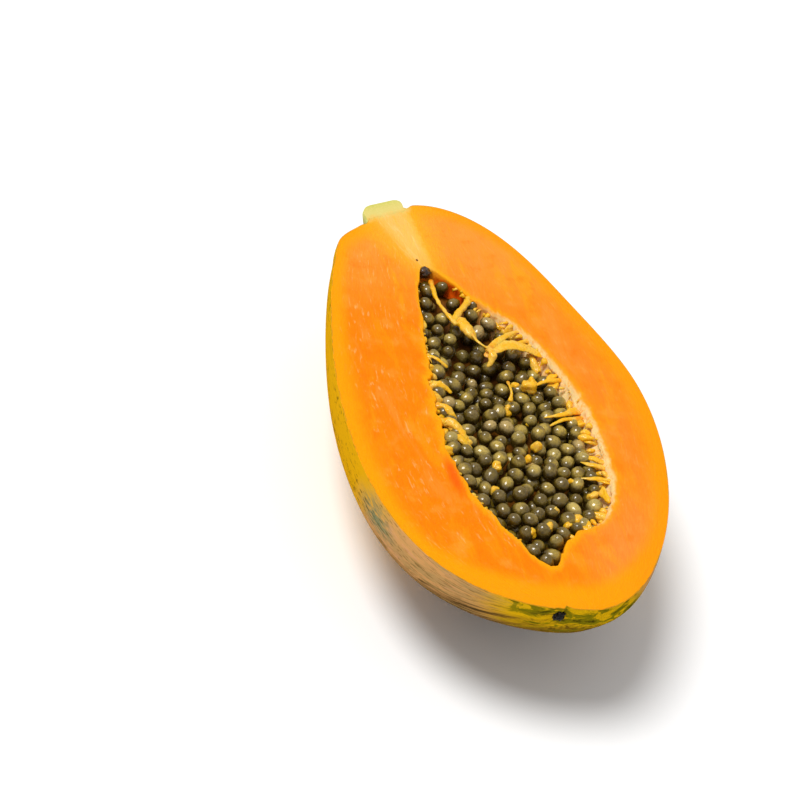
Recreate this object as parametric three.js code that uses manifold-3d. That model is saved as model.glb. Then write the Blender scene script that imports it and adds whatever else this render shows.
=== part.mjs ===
// Half of a ripe papaya, cut lengthwise through its stem and lying on its back with the cut face up.
// Millimetres, +Z up. +X runs from the stem end to the blossom end, and +Y across the cut face.
// The fruit is modelled whole in its own frame, with the knife's plane at z = 0 and the stem end at
// x = 0, and the finished half is then moved so that the middle of its underside is the origin.
import * as THREE from "three";
import { ParametricGeometry } from "three/addons/geometries/ParametricGeometry.js";
import { mergeVertices } from "three/addons/utils/BufferGeometryUtils.js";
import Module from "manifold-3d";

const { smoothstep } = THREE.MathUtils;

// Fruit. Fullness is a half width, or the depth of the belly, divided by sqrt(x (length - x)), at
// even steps from the stem end to the blossom end. A value of 0.5 all along would be an ellipse
// half as wide as it is long. The left shoulder is drawn in beside the stub and squarer below it.
const FRUIT_LENGTH = 180;
const RIGHT_FULLNESS = [0.47, 0.46, 0.52, 0.51, 0.46];
const LEFT_FULLNESS = [0.59, 0.53, 0.56, 0.64, 0.78];
const DEPTH_FULLNESS = [0.48, 0.45, 0.47, 0.45, 0.4];
const LEFT_SHOULDER = [
  { x: 10.5, halfLength: 4, fullness: -0.05 },
  { x: 19.5, halfLength: 5, fullness: 0.02 },
];
const KNIFE_ABOVE_AXIS = 2.3;
const LOBES = 5;
const LOBE_HEIGHT = 0.012;
const REST_FLAT_DEPTH = 0.9;
const FRUIT_STEPS_ALONG = 40;
const FRUIT_STEPS_AROUND = 44;

// Seed cavity. The rim is where the cavity meets the cut face, from the stem side's tip down the
// right side to the blossom side's tip and back up the left side. Going down, the rim is drawn in
// to the centre by a power of a cosine, a higher one across the fruit than along it.
const CAVITY_RIM = [
  [32.8, -7], [41, 0.5], [50, 5.5], [58, 13], [68, 18.5], [82, 23], [98, 25.5], [115, 25.5], [130, 23.5],
  [141, 19], [148, 12], [153, 2], [159, -2], [163, -6], [160, -10.5], [151, -14.5], [142, -19],
  [131, -22.5], [118, -24], [102, -22.5], [84, -20], [66, -16.5], [49, -13.5], [39, -10.5],
];
const CAVITY_CENTRE = [103, -2];
const CAVITY_DEPTH = 21;
const CAVITY_POWER_ACROSS = 0.85;
const CAVITY_POWER_ALONG = 0.6;
const CAVITY_LID = 8;
const CAVITY_STEPS_DOWN = 8;
const CAVITY_STEPS_AROUND = 44;
const RIM_SAMPLES = 240;
const WALL_GAP = 0.35;

// Seeds, strewn over a bed that sinks from the rim to the middle of the cavity. The blossom half is
// filled nearly up to the cut face. On the right side the seeds start lower and further in, so the
// wall above them is bare. In the narrow stem side they have places of their own.
const SEED_RADIUS = 2.5;
const SEED_WIDTH_SHARE = 0.92;
const SEED_LENGTH_SHARE = 1.12;
const SEED_SIZE_SPREAD = 0.2;
const SEED_SPACING = 5.9;
const SEED_JITTER = 2.3;
const SEED_CLOSEST = 5.2;
const SEED_ROUNDS = 8;
const SEED_HEIGHT_SPREAD = 2.4;
const SEED_RISE_MOST = 1.2;
const SEED_FACES = { around: 6, down: 4 };
const SEED_ROWS = { first: 32, last: 168, columnsEachSide: 6 };
const SEED_DRAW = 4711;
const STEM_SEEDS = [
  [41.9, -8, -3.2], [47.9, -10.1, -3.2], [39.8, -2.6, -3.4], [47.7, -0.9, -3.5], [49.2, 4.6, -3],
  [54.8, -6.9, -2.8], [55.6, -11.6, -3.2], [60.9, -10.2, -3], [61.6, -15, -3.4], [63.3, -6.3, -3.4],
  [53.6, 3.4, -3.2], [57.2, 8.2, -3.6], [60, 3.9, -3.8], [67.3, -13.4, -3], [69.4, -9, -3.4], [73.4, -15, -3],
];
const BED_BELOW_FACE = 2.2;
const BED_DIP = 4.5;
const BED_SLOPE_WIDTH = 13;
const BED_FILL = { from: 92, to: 118, share: 0.7 };
const BARE_WALL = { from: 3, to: 15, drop: 3.6, margin: 1.6 };
const BED_PITS = [
  { x: 76, y: 1.5, halfLength: 13, halfWidth: 6.5, depth: 5 },
];
const CORE_BELOW_SEEDS = 1.1;
const CORE_TOP_LEVELS = 5;
const CORE_OUTSET = 2;

// Placenta strands, which grow from the cavity wall and hold the seeds. Points are [x, y, z].
const MAIN_STRANDS = [
  { radius: 1.1, path: [[36, -5.5, -1.8], [46, -6.5, 0.1], [56, -5, 0.6], [64, -1, 0.2], [70, 1.5, -2.5]] },
  { radius: 1.5, path: [[60, 15.5, -1.5], [64, 9, 0.4], [68, 3.5, 0.8], [74, -1, 0.3], [79, -3, -2.5]] },
  { radius: 1.2, path: [[84, 24, -1.5], [80, 17, 0.6], [78, 10, 0.9], [79, 3, 0.4], [81, -3, -2.5]] },
  { radius: 1.0, path: [[112, 27, -1.5], [108, 20, 0.6], [107, 14, 0.4], [108, 9, -2.2]] },
];
const STRAND_SIDES = 5;
const STRAND_SAMPLES = 16;

// Short strands all round the rim. Heights are those of the root, the middle and the tip.
const RIM_STRANDS = {
  count: 22,
  radius: 0.85,
  root: 2.2,
  shortest: 3.2,
  longest: 6.5,
  clearance: 0.75,
  middleShare: 0.45,
  middleSway: 0.004,
  tipSway: 0.012,
  heights: [-1.9, -0.9, -1.6],
  lift: 0.8,
  draw: 907,
};

// Stem stub, a short plug of the stalk that stands in a seat in the shoulder and is cut with the
// fruit. Profile points are [radius, height], and both its ends slope by the slant.
const STUB_BASE = [9.5, -12.9];
const STUB_SLANT = 0.36;
const STUB_PROFILE = [
  [0, 0], [6.9, 0], [7.1, 4.2], [7.3, 6.2], [7.1, 8], [6.2, 9.4], [4.6, 10], [0, 10],
];
const STUB_SIDES = 20;

// Blossom scar, the dry remnant of the flower at the tip.
const SCAR_CENTRE = [178.3, -9.1, -3.3];
const SCAR_RADIUS = 1.9;

const MATERIALS = {
  fruit_half: { color: 0xf98a12, roughness: 0.45, metalness: 0 },
  seeds: { color: 0x4a4029, roughness: 0.25, metalness: 0 },
  stem_stub: { color: 0xc9c45e, roughness: 0.6, metalness: 0 },
};

const wasm = await Module();
wasm.setup();

// A number from 0 to 1 each call, the same series for the same start.
function makeRandom(start) {
  let state = start;
  return () => {
    state = (state * 16807) % 2147483647;
    return state / 2147483647;
  };
}

// A smooth curve through values at even steps, read at a share from 0 to 1.
function profile(values) {
  const points = values.map((value, i) => new THREE.Vector3(i, value, 0));
  const curve = new THREE.CatmullRomCurve3(points, false, "catmullrom");
  return (share) => curve.getPoint(share).y;
}

const rightFullness = profile(RIGHT_FULLNESS);
const leftTable = profile(LEFT_FULLNESS);
const bell = (distance) => Math.exp(-distance * distance);
const leftFullness = (share) =>
  LEFT_SHOULDER.reduce(
    (sum, { x, halfLength, fullness }) => sum + fullness * bell((share * FRUIT_LENGTH - x) / halfLength),
    leftTable(share),
  );
const depthFullness = profile(DEPTH_FULLNESS);
const rimCurve = new THREE.CatmullRomCurve3(
  CAVITY_RIM.map(([x, y]) => new THREE.Vector3(x, y, 0)),
  true,
  "catmullrom",
);
const rimPoints = rimCurve.getPoints(RIM_SAMPLES).slice(0, RIM_SAMPLES);

// A closed three.js geometry as a solid.
function solidOf(geometry) {
  const bare = geometry.clone();
  bare.deleteAttribute("normal");
  bare.deleteAttribute("uv");
  const merged = mergeVertices(bare, 1e-4);
  const corners = [...merged.index.array];
  const triangles = [];
  for (let i = 0; i < corners.length; i += 3) {
    const [a, b, c] = corners.slice(i, i + 3);
    if (a !== b && b !== c && c !== a) triangles.push(a, b, c);
  }
  return new wasm.Manifold(
    new wasm.Mesh({
      numProp: 3,
      vertProperties: merged.attributes.position.array,
      triVerts: new Uint32Array(triangles),
    }),
  );
}

// A solid as a geometry that a mesh can show.
function geometryOf(solid) {
  const mesh = solid.getMesh();
  const geometry = new THREE.BufferGeometry();
  geometry.setAttribute("position", new THREE.BufferAttribute(mesh.vertProperties, 3));
  geometry.setIndex(new THREE.BufferAttribute(mesh.triVerts, 1));
  const faceted = geometry.toNonIndexed();
  faceted.computeVertexNormals();
  return faceted;
}

function largestBody(solid) {
  return solid.decompose().reduce((best, body) => (body.volume() > best.volume() ? body : best));
}

function join(solids) {
  return solids.reduce((whole, solid) => whole.add(solid));
}

// The whole fruit's skin: an egg whose two sides and belly each have their own fullness, with
// shallow lobes that run from end to end. The lobes vanish where the knife cuts.
function fruitPoint(along, around, target) {
  const share = (1 - Math.cos(Math.PI * along)) / 2;
  const girth = (FRUIT_LENGTH * Math.sin(Math.PI * along)) / 2;
  const angle = -2 * Math.PI * around;
  const lobe = 1 - LOBE_HEIGHT * Math.sin(LOBES * angle);
  const side = Math.cos(angle) > 0 ? rightFullness : leftFullness;
  target.set(
    FRUIT_LENGTH * share,
    side(share) * girth * Math.cos(angle) * lobe,
    depthFullness(share) * girth * Math.sin(angle) * lobe - KNIFE_ABOVE_AXIS,
  );
}

// The rim at a share of its length, moved inwards by a distance.
function rimPoint(share, inset) {
  const point = rimCurve.getPoint(share % 1);
  const tangent = rimCurve.getTangent(share % 1);
  return new THREE.Vector2(point.x + tangent.y * inset, point.y - tangent.x * inset);
}

// The cavity as a closed bowl with a lid above the cut face, drawn in by an inset on every side.
// Level 0 is the lid's centre, level 1 its edge, level 2 the rim and the last level the bottom.
function cavityPoint(inset) {
  return (around, down, target) => {
    const level = Math.round(down * CAVITY_STEPS_DOWN);
    const rim = rimPoint(around, inset);
    const [cx, cy] = CAVITY_CENTRE;
    if (level === 0) {
      target.set(cx, cy, CAVITY_LID);
    } else if (level === 1) {
      target.set(rim.x, rim.y, CAVITY_LID);
    } else if (level === CAVITY_STEPS_DOWN) {
      target.set(cx, cy, inset - CAVITY_DEPTH);
    } else {
      const sink = (Math.PI / 2) * ((level - 2) / (CAVITY_STEPS_DOWN - 2));
      const across = Math.cos(sink) ** CAVITY_POWER_ACROSS;
      const along = Math.cos(sink) ** CAVITY_POWER_ALONG;
      const z = (inset - CAVITY_DEPTH) * Math.sin(sink);
      target.set(cx + (rim.x - cx) * along, cy + (rim.y - cy) * across, z);
    }
  };
}

function cavitySolid(inset) {
  return solidOf(new ParametricGeometry(cavityPoint(inset), CAVITY_STEPS_AROUND, CAVITY_STEPS_DOWN));
}

function nearestRimPoint(x, y) {
  const apart = (p) => Math.hypot(p.x - x, p.y - y);
  return rimPoints.reduce((near, p) => (apart(p) < apart(near) ? p : near));
}

function distanceToRim(x, y) {
  const near = nearestRimPoint(x, y);
  return Math.hypot(near.x - x, near.y - y);
}

function insideRim(x, y) {
  let inside = false;
  rimPoints.forEach((a, i) => {
    const b = rimPoints[(i + 1) % rimPoints.length];
    if (a.y > y !== b.y > y && x < a.x + ((b.x - a.x) * (y - a.y)) / (b.y - a.y)) inside = !inside;
  });
  return inside;
}

// How far a place belongs to the bare right wall, from 0 to 1.
function bareWall(y) {
  return smoothstep(y, BARE_WALL.from, BARE_WALL.to);
}

function pitDepth(pit, x, y) {
  return pit.depth * Math.exp(-(((x - pit.x) / pit.halfLength) ** 2) - ((y - pit.y) / pit.halfWidth) ** 2);
}

// The height of the bed on which the seeds' centres lie.
function bedHeight(x, y) {
  const bare = bareWall(y);
  const dip = BED_DIP * (1 - BED_FILL.share * smoothstep(x, BED_FILL.from, BED_FILL.to));
  const sink = dip * (1 - bare) * smoothstep(distanceToRim(x, y), 0, BED_SLOPE_WIDTH);
  const pits = BED_PITS.reduce((sum, pit) => sum + pitDepth(pit, x, y), 0);
  return -BED_BELOW_FACE - BARE_WALL.drop * bare - sink - pits;
}

// The seeds' first places: staggered rows across the cavity, each moved at random. Six numbers are
// drawn for every place in the rows, also for those that fall outside the cavity.
function strewnSeeds() {
  const random = makeRandom(SEED_DRAW);
  const rowStep = SEED_SPACING * Math.sqrt(0.75);
  const seeds = [];
  for (let row = 0; SEED_ROWS.first + row * rowStep < SEED_ROWS.last; row += 1) {
    for (let column = -SEED_ROWS.columnsEachSide; column <= SEED_ROWS.columnsEachSide; column += 1) {
      const [dx, dy, dz, size, turn, tilt] = Array.from({ length: 6 }, random);
      const x = SEED_ROWS.first + row * rowStep + (2 * dx - 1) * SEED_JITTER;
      const y = (column + (row % 2) / 2) * SEED_SPACING + (2 * dy - 1) * SEED_JITTER;
      const radius = SEED_RADIUS * (1 + SEED_SIZE_SPREAD * (size - 0.5));
      if (insideRim(x, y)) seeds.push({ x, y, radius, turn, tilt, lift: (dz - 0.5) * SEED_HEIGHT_SPREAD });
    }
  }
  return seeds;
}

// One round of settling: each seed moves by half of what it lacks to each near neighbour, and then
// off the wall as far as it lacks there.
function settle(seeds) {
  return seeds.map((seed, i) => {
    const moved = new THREE.Vector2(seed.x, seed.y);
    seeds.forEach((other, j) => {
      const apart = new THREE.Vector2(seed.x - other.x, seed.y - other.y);
      const lack = SEED_CLOSEST - apart.length();
      if (j !== i && lack > 0) moved.add(apart.setLength(lack / 2));
    });
    const near = nearestRimPoint(moved.x, moved.y);
    const inwards = new THREE.Vector2(moved.x - near.x, moved.y - near.y);
    const margin = seed.radius + WALL_GAP + BARE_WALL.margin * bareWall(moved.y);
    if (!insideRim(moved.x, moved.y)) inwards.negate();
    else if (inwards.length() >= margin) return { ...seed, x: moved.x, y: moved.y };
    inwards.setLength(margin);
    return { ...seed, x: near.x + inwards.x, y: near.y + inwards.y };
  });
}

// The stem side's seeds, with turns and tilts of their own.
function stemSeeds() {
  const random = makeRandom(SEED_DRAW + 1);
  return STEM_SEEDS.map(([x, y, z]) => {
    const [size, turn, tilt] = Array.from({ length: 3 }, random);
    const most = bedHeight(x, y) + SEED_RISE_MOST;
    return { x, y, z: Math.min(z, most), radius: SEED_RADIUS * (0.85 + SEED_SIZE_SPREAD * size), turn, tilt };
  });
}

// The settled seeds on their bed, without those that would touch a stem side's seed or a strand.
function seedPlaces(isFree) {
  let seeds = strewnSeeds();
  for (let round = 0; round < SEED_ROUNDS; round += 1) seeds = settle(seeds);
  const fixed = stemSeeds();
  const last = Math.max(...fixed.map((seed) => seed.x));
  const clear = seeds.filter(
    ({ x, y }) => x > last || fixed.every((seed) => Math.hypot(seed.x - x, seed.y - y) > SEED_CLOSEST),
  );
  const placed = clear.map((seed) => ({ ...seed, z: bedHeight(seed.x, seed.y) + seed.lift }));
  return [...fixed, ...placed].filter(isFree);
}

// One seed: a short egg of few faces, longer along its own axis than across it.
function seedSolid({ x, y, z, radius, turn, tilt }) {
  const seed = new THREE.SphereGeometry(radius, SEED_FACES.around, SEED_FACES.down);
  seed.scale(SEED_WIDTH_SHARE, SEED_LENGTH_SHARE, SEED_WIDTH_SHARE);
  seed.rotateX((tilt - 0.5) * Math.PI);
  seed.rotateZ(turn * 2 * Math.PI);
  seed.translate(x, y, z);
  return solidOf(seed);
}

// The packed seeds below the ones that show: all of the cavity that lies below the bed.
function coreSolid() {
  const levels = CORE_TOP_LEVELS + 2;
  const [cx, cy] = CAVITY_CENTRE;
  const below = (around, down, target) => {
    const level = Math.round(down * levels);
    const rim = rimPoint(around, -CORE_OUTSET);
    const out = level > levels - 1 ? 0 : Math.min(level / CORE_TOP_LEVELS, 1);
    target.set(cx + (rim.x - cx) * out, cy + (rim.y - cy) * out, -CAVITY_DEPTH - CORE_OUTSET);
    if (level <= CORE_TOP_LEVELS) target.z = bedHeight(target.x, target.y) - CORE_BELOW_SEEDS;
  };
  const block = solidOf(new ParametricGeometry(below, CAVITY_STEPS_AROUND, levels));
  return block.intersect(cavitySolid(2 * WALL_GAP));
}

function strandCurve({ path }) {
  return new THREE.CatmullRomCurve3(path.map((point) => new THREE.Vector3(...point)));
}

// A strand: a tube of few sides along a smooth path, thickened by an extra on every side.
function strandSolid(strand, extra) {
  const section = new THREE.Shape();
  for (let i = 0; i < STRAND_SIDES; i += 1) {
    const angle = (2 * Math.PI * i) / STRAND_SIDES;
    const corner = [(strand.radius + extra) * Math.cos(angle), (strand.radius + extra) * Math.sin(angle)];
    if (i === 0) section.moveTo(...corner);
    else section.lineTo(...corner);
  }
  const options = { steps: strand.path.length, extrudePath: strandCurve(strand) };
  return solidOf(new THREE.ExtrudeGeometry(section, options));
}

// The short strands: each starts inside the wall and points in over the seeds. Where the cavity is
// too narrow for one, in its two tips, there is none.
function rimStrands() {
  const random = makeRandom(RIM_STRANDS.draw);
  const [rootZ, middleZ, tipZ] = RIM_STRANDS.heights;
  const drawn = Array.from({ length: RIM_STRANDS.count }, (_, i) => {
    const [shift, length, sway, lift] = Array.from({ length: 4 }, random);
    const share = (i + 0.8 * shift) / RIM_STRANDS.count;
    const reach = RIM_STRANDS.shortest + (RIM_STRANDS.longest - RIM_STRANDS.shortest) * length;
    const root = rimPoint(share, -RIM_STRANDS.root);
    const middle = rimPoint(share + RIM_STRANDS.middleSway * (sway - 0.5), reach * RIM_STRANDS.middleShare);
    const tip = rimPoint(share + RIM_STRANDS.tipSway * (sway - 0.5), reach);
    return {
      reach,
      radius: RIM_STRANDS.radius * (0.75 + 0.5 * length),
      path: [
        [root.x, root.y, rootZ],
        [middle.x, middle.y, middleZ + RIM_STRANDS.lift * lift],
        [tip.x, tip.y, tipZ + RIM_STRANDS.lift * lift],
      ],
    };
  });
  return drawn.filter(({ path, reach }) => {
    const [x, y] = path[path.length - 1];
    return insideRim(x, y) && distanceToRim(x, y) > RIM_STRANDS.clearance * reach;
  });
}

// The stub's lathe turned to stand out of the shoulder and slanted, grown by a clearance all round.
function stubSolid(extra) {
  const points = STUB_PROFILE.map(([r, h], i) => {
    const end = i === 0 || i === 1 ? -extra : extra;
    return new THREE.Vector2(r === 0 ? 0 : r + extra, h + end);
  });
  const stub = new THREE.LatheGeometry(points, STUB_SIDES);
  stub.rotateZ(Math.PI / 2);
  stub.applyMatrix4(new THREE.Matrix4().makeShear(0, 0, -STUB_SLANT, 0, 0, 0));
  stub.translate(STUB_BASE[0], STUB_BASE[1], -KNIFE_ABOVE_AXIS / 2);
  return solidOf(stub);
}

// A block that takes in everything from one height up, or from one height down.
function halfSpace(height, upwards) {
  const size = 2 * FRUIT_LENGTH;
  const block = new THREE.BoxGeometry(size, size, size);
  block.translate(FRUIT_LENGTH / 2, 0, height + ((upwards ? 1 : -1) * size) / 2);
  return solidOf(block);
}

function scarSolid() {
  const scar = new THREE.SphereGeometry(SCAR_RADIUS, 8, 6);
  scar.translate(...SCAR_CENTRE);
  return solidOf(scar);
}

const strands = [...MAIN_STRANDS, ...rimStrands()];

// The flesh with its skin, hollowed for the seeds and the stub, with a small flat to rest on under
// its deepest point, and the strands grown to its cavity wall.
function fleshSolid() {
  const lowest = -KNIFE_ABOVE_AXIS - depthFullness(0.5) * (FRUIT_LENGTH / 2) * (1 + LOBE_HEIGHT);
  const restHeight = lowest + REST_FLAT_DEPTH;
  const fruit = solidOf(new ParametricGeometry(fruitPoint, FRUIT_STEPS_ALONG, FRUIT_STEPS_AROUND));
  const half = fruit.add(scarSolid()).subtract(halfSpace(0, true)).subtract(halfSpace(restHeight, false));
  const hollow = half.subtract(cavitySolid(0)).subtract(stubSolid(WALL_GAP));
  return largestBody(join([hollow, ...strands.map((strand) => strandSolid(strand, 0))]));
}

function seedsSolid() {
  const lines = strands.map((strand) => ({
    points: strandCurve(strand).getPoints(STRAND_SAMPLES),
    radius: strand.radius,
  }));
  const isFree = ({ x, y, z, radius }) =>
    lines.every((line) =>
      line.points.every((p) => Math.hypot(p.x - x, p.y - y, p.z - z) > 0.8 * radius + line.radius),
    );
  const seeds = join(seedPlaces(isFree).map(seedSolid)).intersect(cavitySolid(WALL_GAP));
  const clear = join(strands.map((strand) => strandSolid(strand, WALL_GAP)));
  return largestBody(coreSolid().add(seeds).subtract(clear));
}

function stemStubSolid() {
  return stubSolid(0).subtract(halfSpace(0, true));
}

function node(name, solid) {
  const mesh = new THREE.Mesh(geometryOf(solid), new THREE.MeshStandardMaterial(MATERIALS[name]));
  mesh.name = name;
  return mesh;
}

const papaya = new THREE.Group();
papaya.add(node("fruit_half", fleshSolid()));
papaya.add(node("seeds", seedsSolid()));
papaya.add(node("stem_stub", stemStubSolid()));

const box = new THREE.Box3().setFromObject(papaya);
const centre = box.getCenter(new THREE.Vector3());
papaya.children.forEach((mesh) => mesh.position.set(-centre.x, -centre.y, -box.min.z));

export default papaya;
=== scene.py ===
"""Looks of a half papaya that lies on its back with the cut face up.

Shapes are worked out in the fruit's own frame, in millimetres: the knife's plane is z = 0, the stem
end is x = 0, +X runs to the blossom end and +Y across the cut face. A mesh is moved into the model's
frame, in metres, when it is made.
"""

import math

import bpy
import numpy as np
from mathutils import Matrix, Vector


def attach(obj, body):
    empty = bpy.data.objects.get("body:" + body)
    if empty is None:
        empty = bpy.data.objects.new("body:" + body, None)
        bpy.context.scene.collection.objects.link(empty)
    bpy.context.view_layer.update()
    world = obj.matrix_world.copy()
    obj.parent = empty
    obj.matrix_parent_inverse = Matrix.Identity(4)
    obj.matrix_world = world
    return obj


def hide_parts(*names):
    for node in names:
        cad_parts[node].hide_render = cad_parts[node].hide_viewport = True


bl_info = {
    "name": "Half papaya",
    "version": (1, 0, 0),
    "blender": (4, 5, 0),
    "location": "3D View > Sidebar > Papaya",
    "description": "Makes the flesh, skin, seeds and strands of a half papaya",
    "category": "Mesh",
}

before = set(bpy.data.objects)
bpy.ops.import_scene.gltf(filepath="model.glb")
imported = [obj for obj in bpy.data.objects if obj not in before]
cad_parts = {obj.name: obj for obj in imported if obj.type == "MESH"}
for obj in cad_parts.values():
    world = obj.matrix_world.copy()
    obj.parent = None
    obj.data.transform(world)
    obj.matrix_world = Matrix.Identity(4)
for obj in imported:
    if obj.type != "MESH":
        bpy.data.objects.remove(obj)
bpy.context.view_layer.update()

MM = 0.001
FRUIT_ORIGIN = np.array([-89.022, 2.389, 44.208])

# Fruit. Fullness is a half width, or the depth of the belly, divided by sqrt(x (length - x)), at
# even steps from the stem end to the blossom end.
FRUIT_LENGTH = 180.0
RIGHT_FULLNESS = [0.47, 0.46, 0.52, 0.51, 0.46]
LEFT_FULLNESS = [0.59, 0.53, 0.56, 0.64, 0.78]
DEPTH_FULLNESS = [0.48, 0.45, 0.47, 0.45, 0.4]
LEFT_SHOULDER = [
    {"x": 10.5, "half_length": 4, "fullness": -0.05},
    {"x": 19.5, "half_length": 5, "fullness": 0.02},
]
KNIFE_ABOVE_AXIS = 2.3
LOBES = 5
LOBE_HEIGHT = 0.012
REST_FLAT_DEPTH = 0.9
SKIN_INSET = 0.12

# The rim of the seed cavity on the cut face, from the stem side's tip down the right side.
CAVITY_RIM = np.array([
    [32.8, -7], [41, 0.5], [50, 5.5], [58, 13], [68, 18.5], [82, 23], [98, 25.5], [115, 25.5],
    [130, 23.5], [141, 19], [148, 12], [153, 2], [159, -2], [163, -6], [160, -10.5], [151, -14.5],
    [142, -19], [131, -22.5], [118, -24], [102, -22.5], [84, -20], [66, -16.5], [49, -13.5],
    [39, -10.5],
])
CAVITY_CENTRE = np.array([103.0, -2.0])
FACE_CENTRE = np.append(CAVITY_CENTRE, 0.0)
CAVITY_DEPTH = 21.0
CAVITY_POWER_ACROSS = 0.85
CAVITY_POWER_ALONG = 0.6
RIM_SAMPLES = 240
WALL_GAP = 0.35

# How the flesh's rings are spaced: heights of the skin's first rings below the edge, and the
# steepest angle of skin and wall. The grain's own coordinates wind round at these radii.
SKIN_EDGE_STEPS = np.array([0.1, 0.3, 0.6])
STEEPEST = np.pi / 2 - 0.02
GRAIN_RADIUS = 50
WALL_GRAIN_RADIUS = 60

# Dents, each a bell curve about a middle with its half sizes: on the skin in [y, z], and on the bed
# of the seeds in [x, y]. The stub stands in a ring-shaped one.
BLOSSOM_SIDE = 150
STEM_SIDE = 25
BLOSSOM_NICK = {"depth": 1.5, "middle": (-7.4, 0), "half": (0.8, 1.8)}
BLOSSOM_PIT = {"depth": 1.3, "middle": (-9, -3.6), "half": (3.0, 2.4)}
BLOSSOM_FOLDS = {"depth": 0.35, "count": 5, "middle": (-9.1, -3.3), "start": 168, "end": 178}
STUB_SEAT = {"depth": 1.5, "middle": (-12.5, -1), "half": (9.2, 9.0), "ring": 0.86, "width": 0.16}
BED_PIT = {"depth": 5, "middle": (76, 1.5), "half": (13, 6.5)}

# The bed of the seeds, and the rows that they are first strewn in.
SEED_WIDTH_SHARE = 0.92
SEED_LENGTH_SHARE = 1.12
SEED_SIZE_SPREAD = 0.2
SEED_SPACING = 5.9
SEED_JITTER = 2.3
SEED_CLOSEST = 5.2
SEED_ROUNDS = 8
SEED_HEIGHT_SPREAD = 2.4
SEED_ROWS = {"first": 32, "last": 168, "each_side": 6}
SEED_DRAW = 4711
SEED_RISE_MOST = 1.2
STEM_SEEDS = np.array([
    [41.9, -8, -3.2], [47.9, -10.1, -3.2], [39.8, -2.6, -3.4], [47.7, -0.9, -3.5], [49.2, 4.6, -3],
    [54.8, -6.9, -2.8], [55.6, -11.6, -3.2], [60.9, -10.2, -3], [61.6, -15, -3.4], [63.3, -6.3, -3.4],
    [53.6, 3.4, -3.2], [57.2, 8.2, -3.6], [60, 3.9, -3.8], [67.3, -13.4, -3], [69.4, -9, -3.4],
    [73.4, -15, -3],
])
BROKEN_SEED = {"centre": [34.2, -7.0, -1.5], "radius": 2.0, "turn": 0.1, "tilt": 0.4}
SECOND_LAYER = {"draw": SEED_DRAW + 8, "drop": 3.6}
STEM_POCKET = {"x": 52, "y": -5}
BED_BELOW_FACE = 2.2
BED_DIP = 4.5
BED_SLOPE_WIDTH = 13.0
BED_FILL = {"start": 92, "end": 118, "share": 0.7}
BARE_WALL = {"start": 3, "end": 15, "drop": 3.6, "margin": 1.6}

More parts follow.
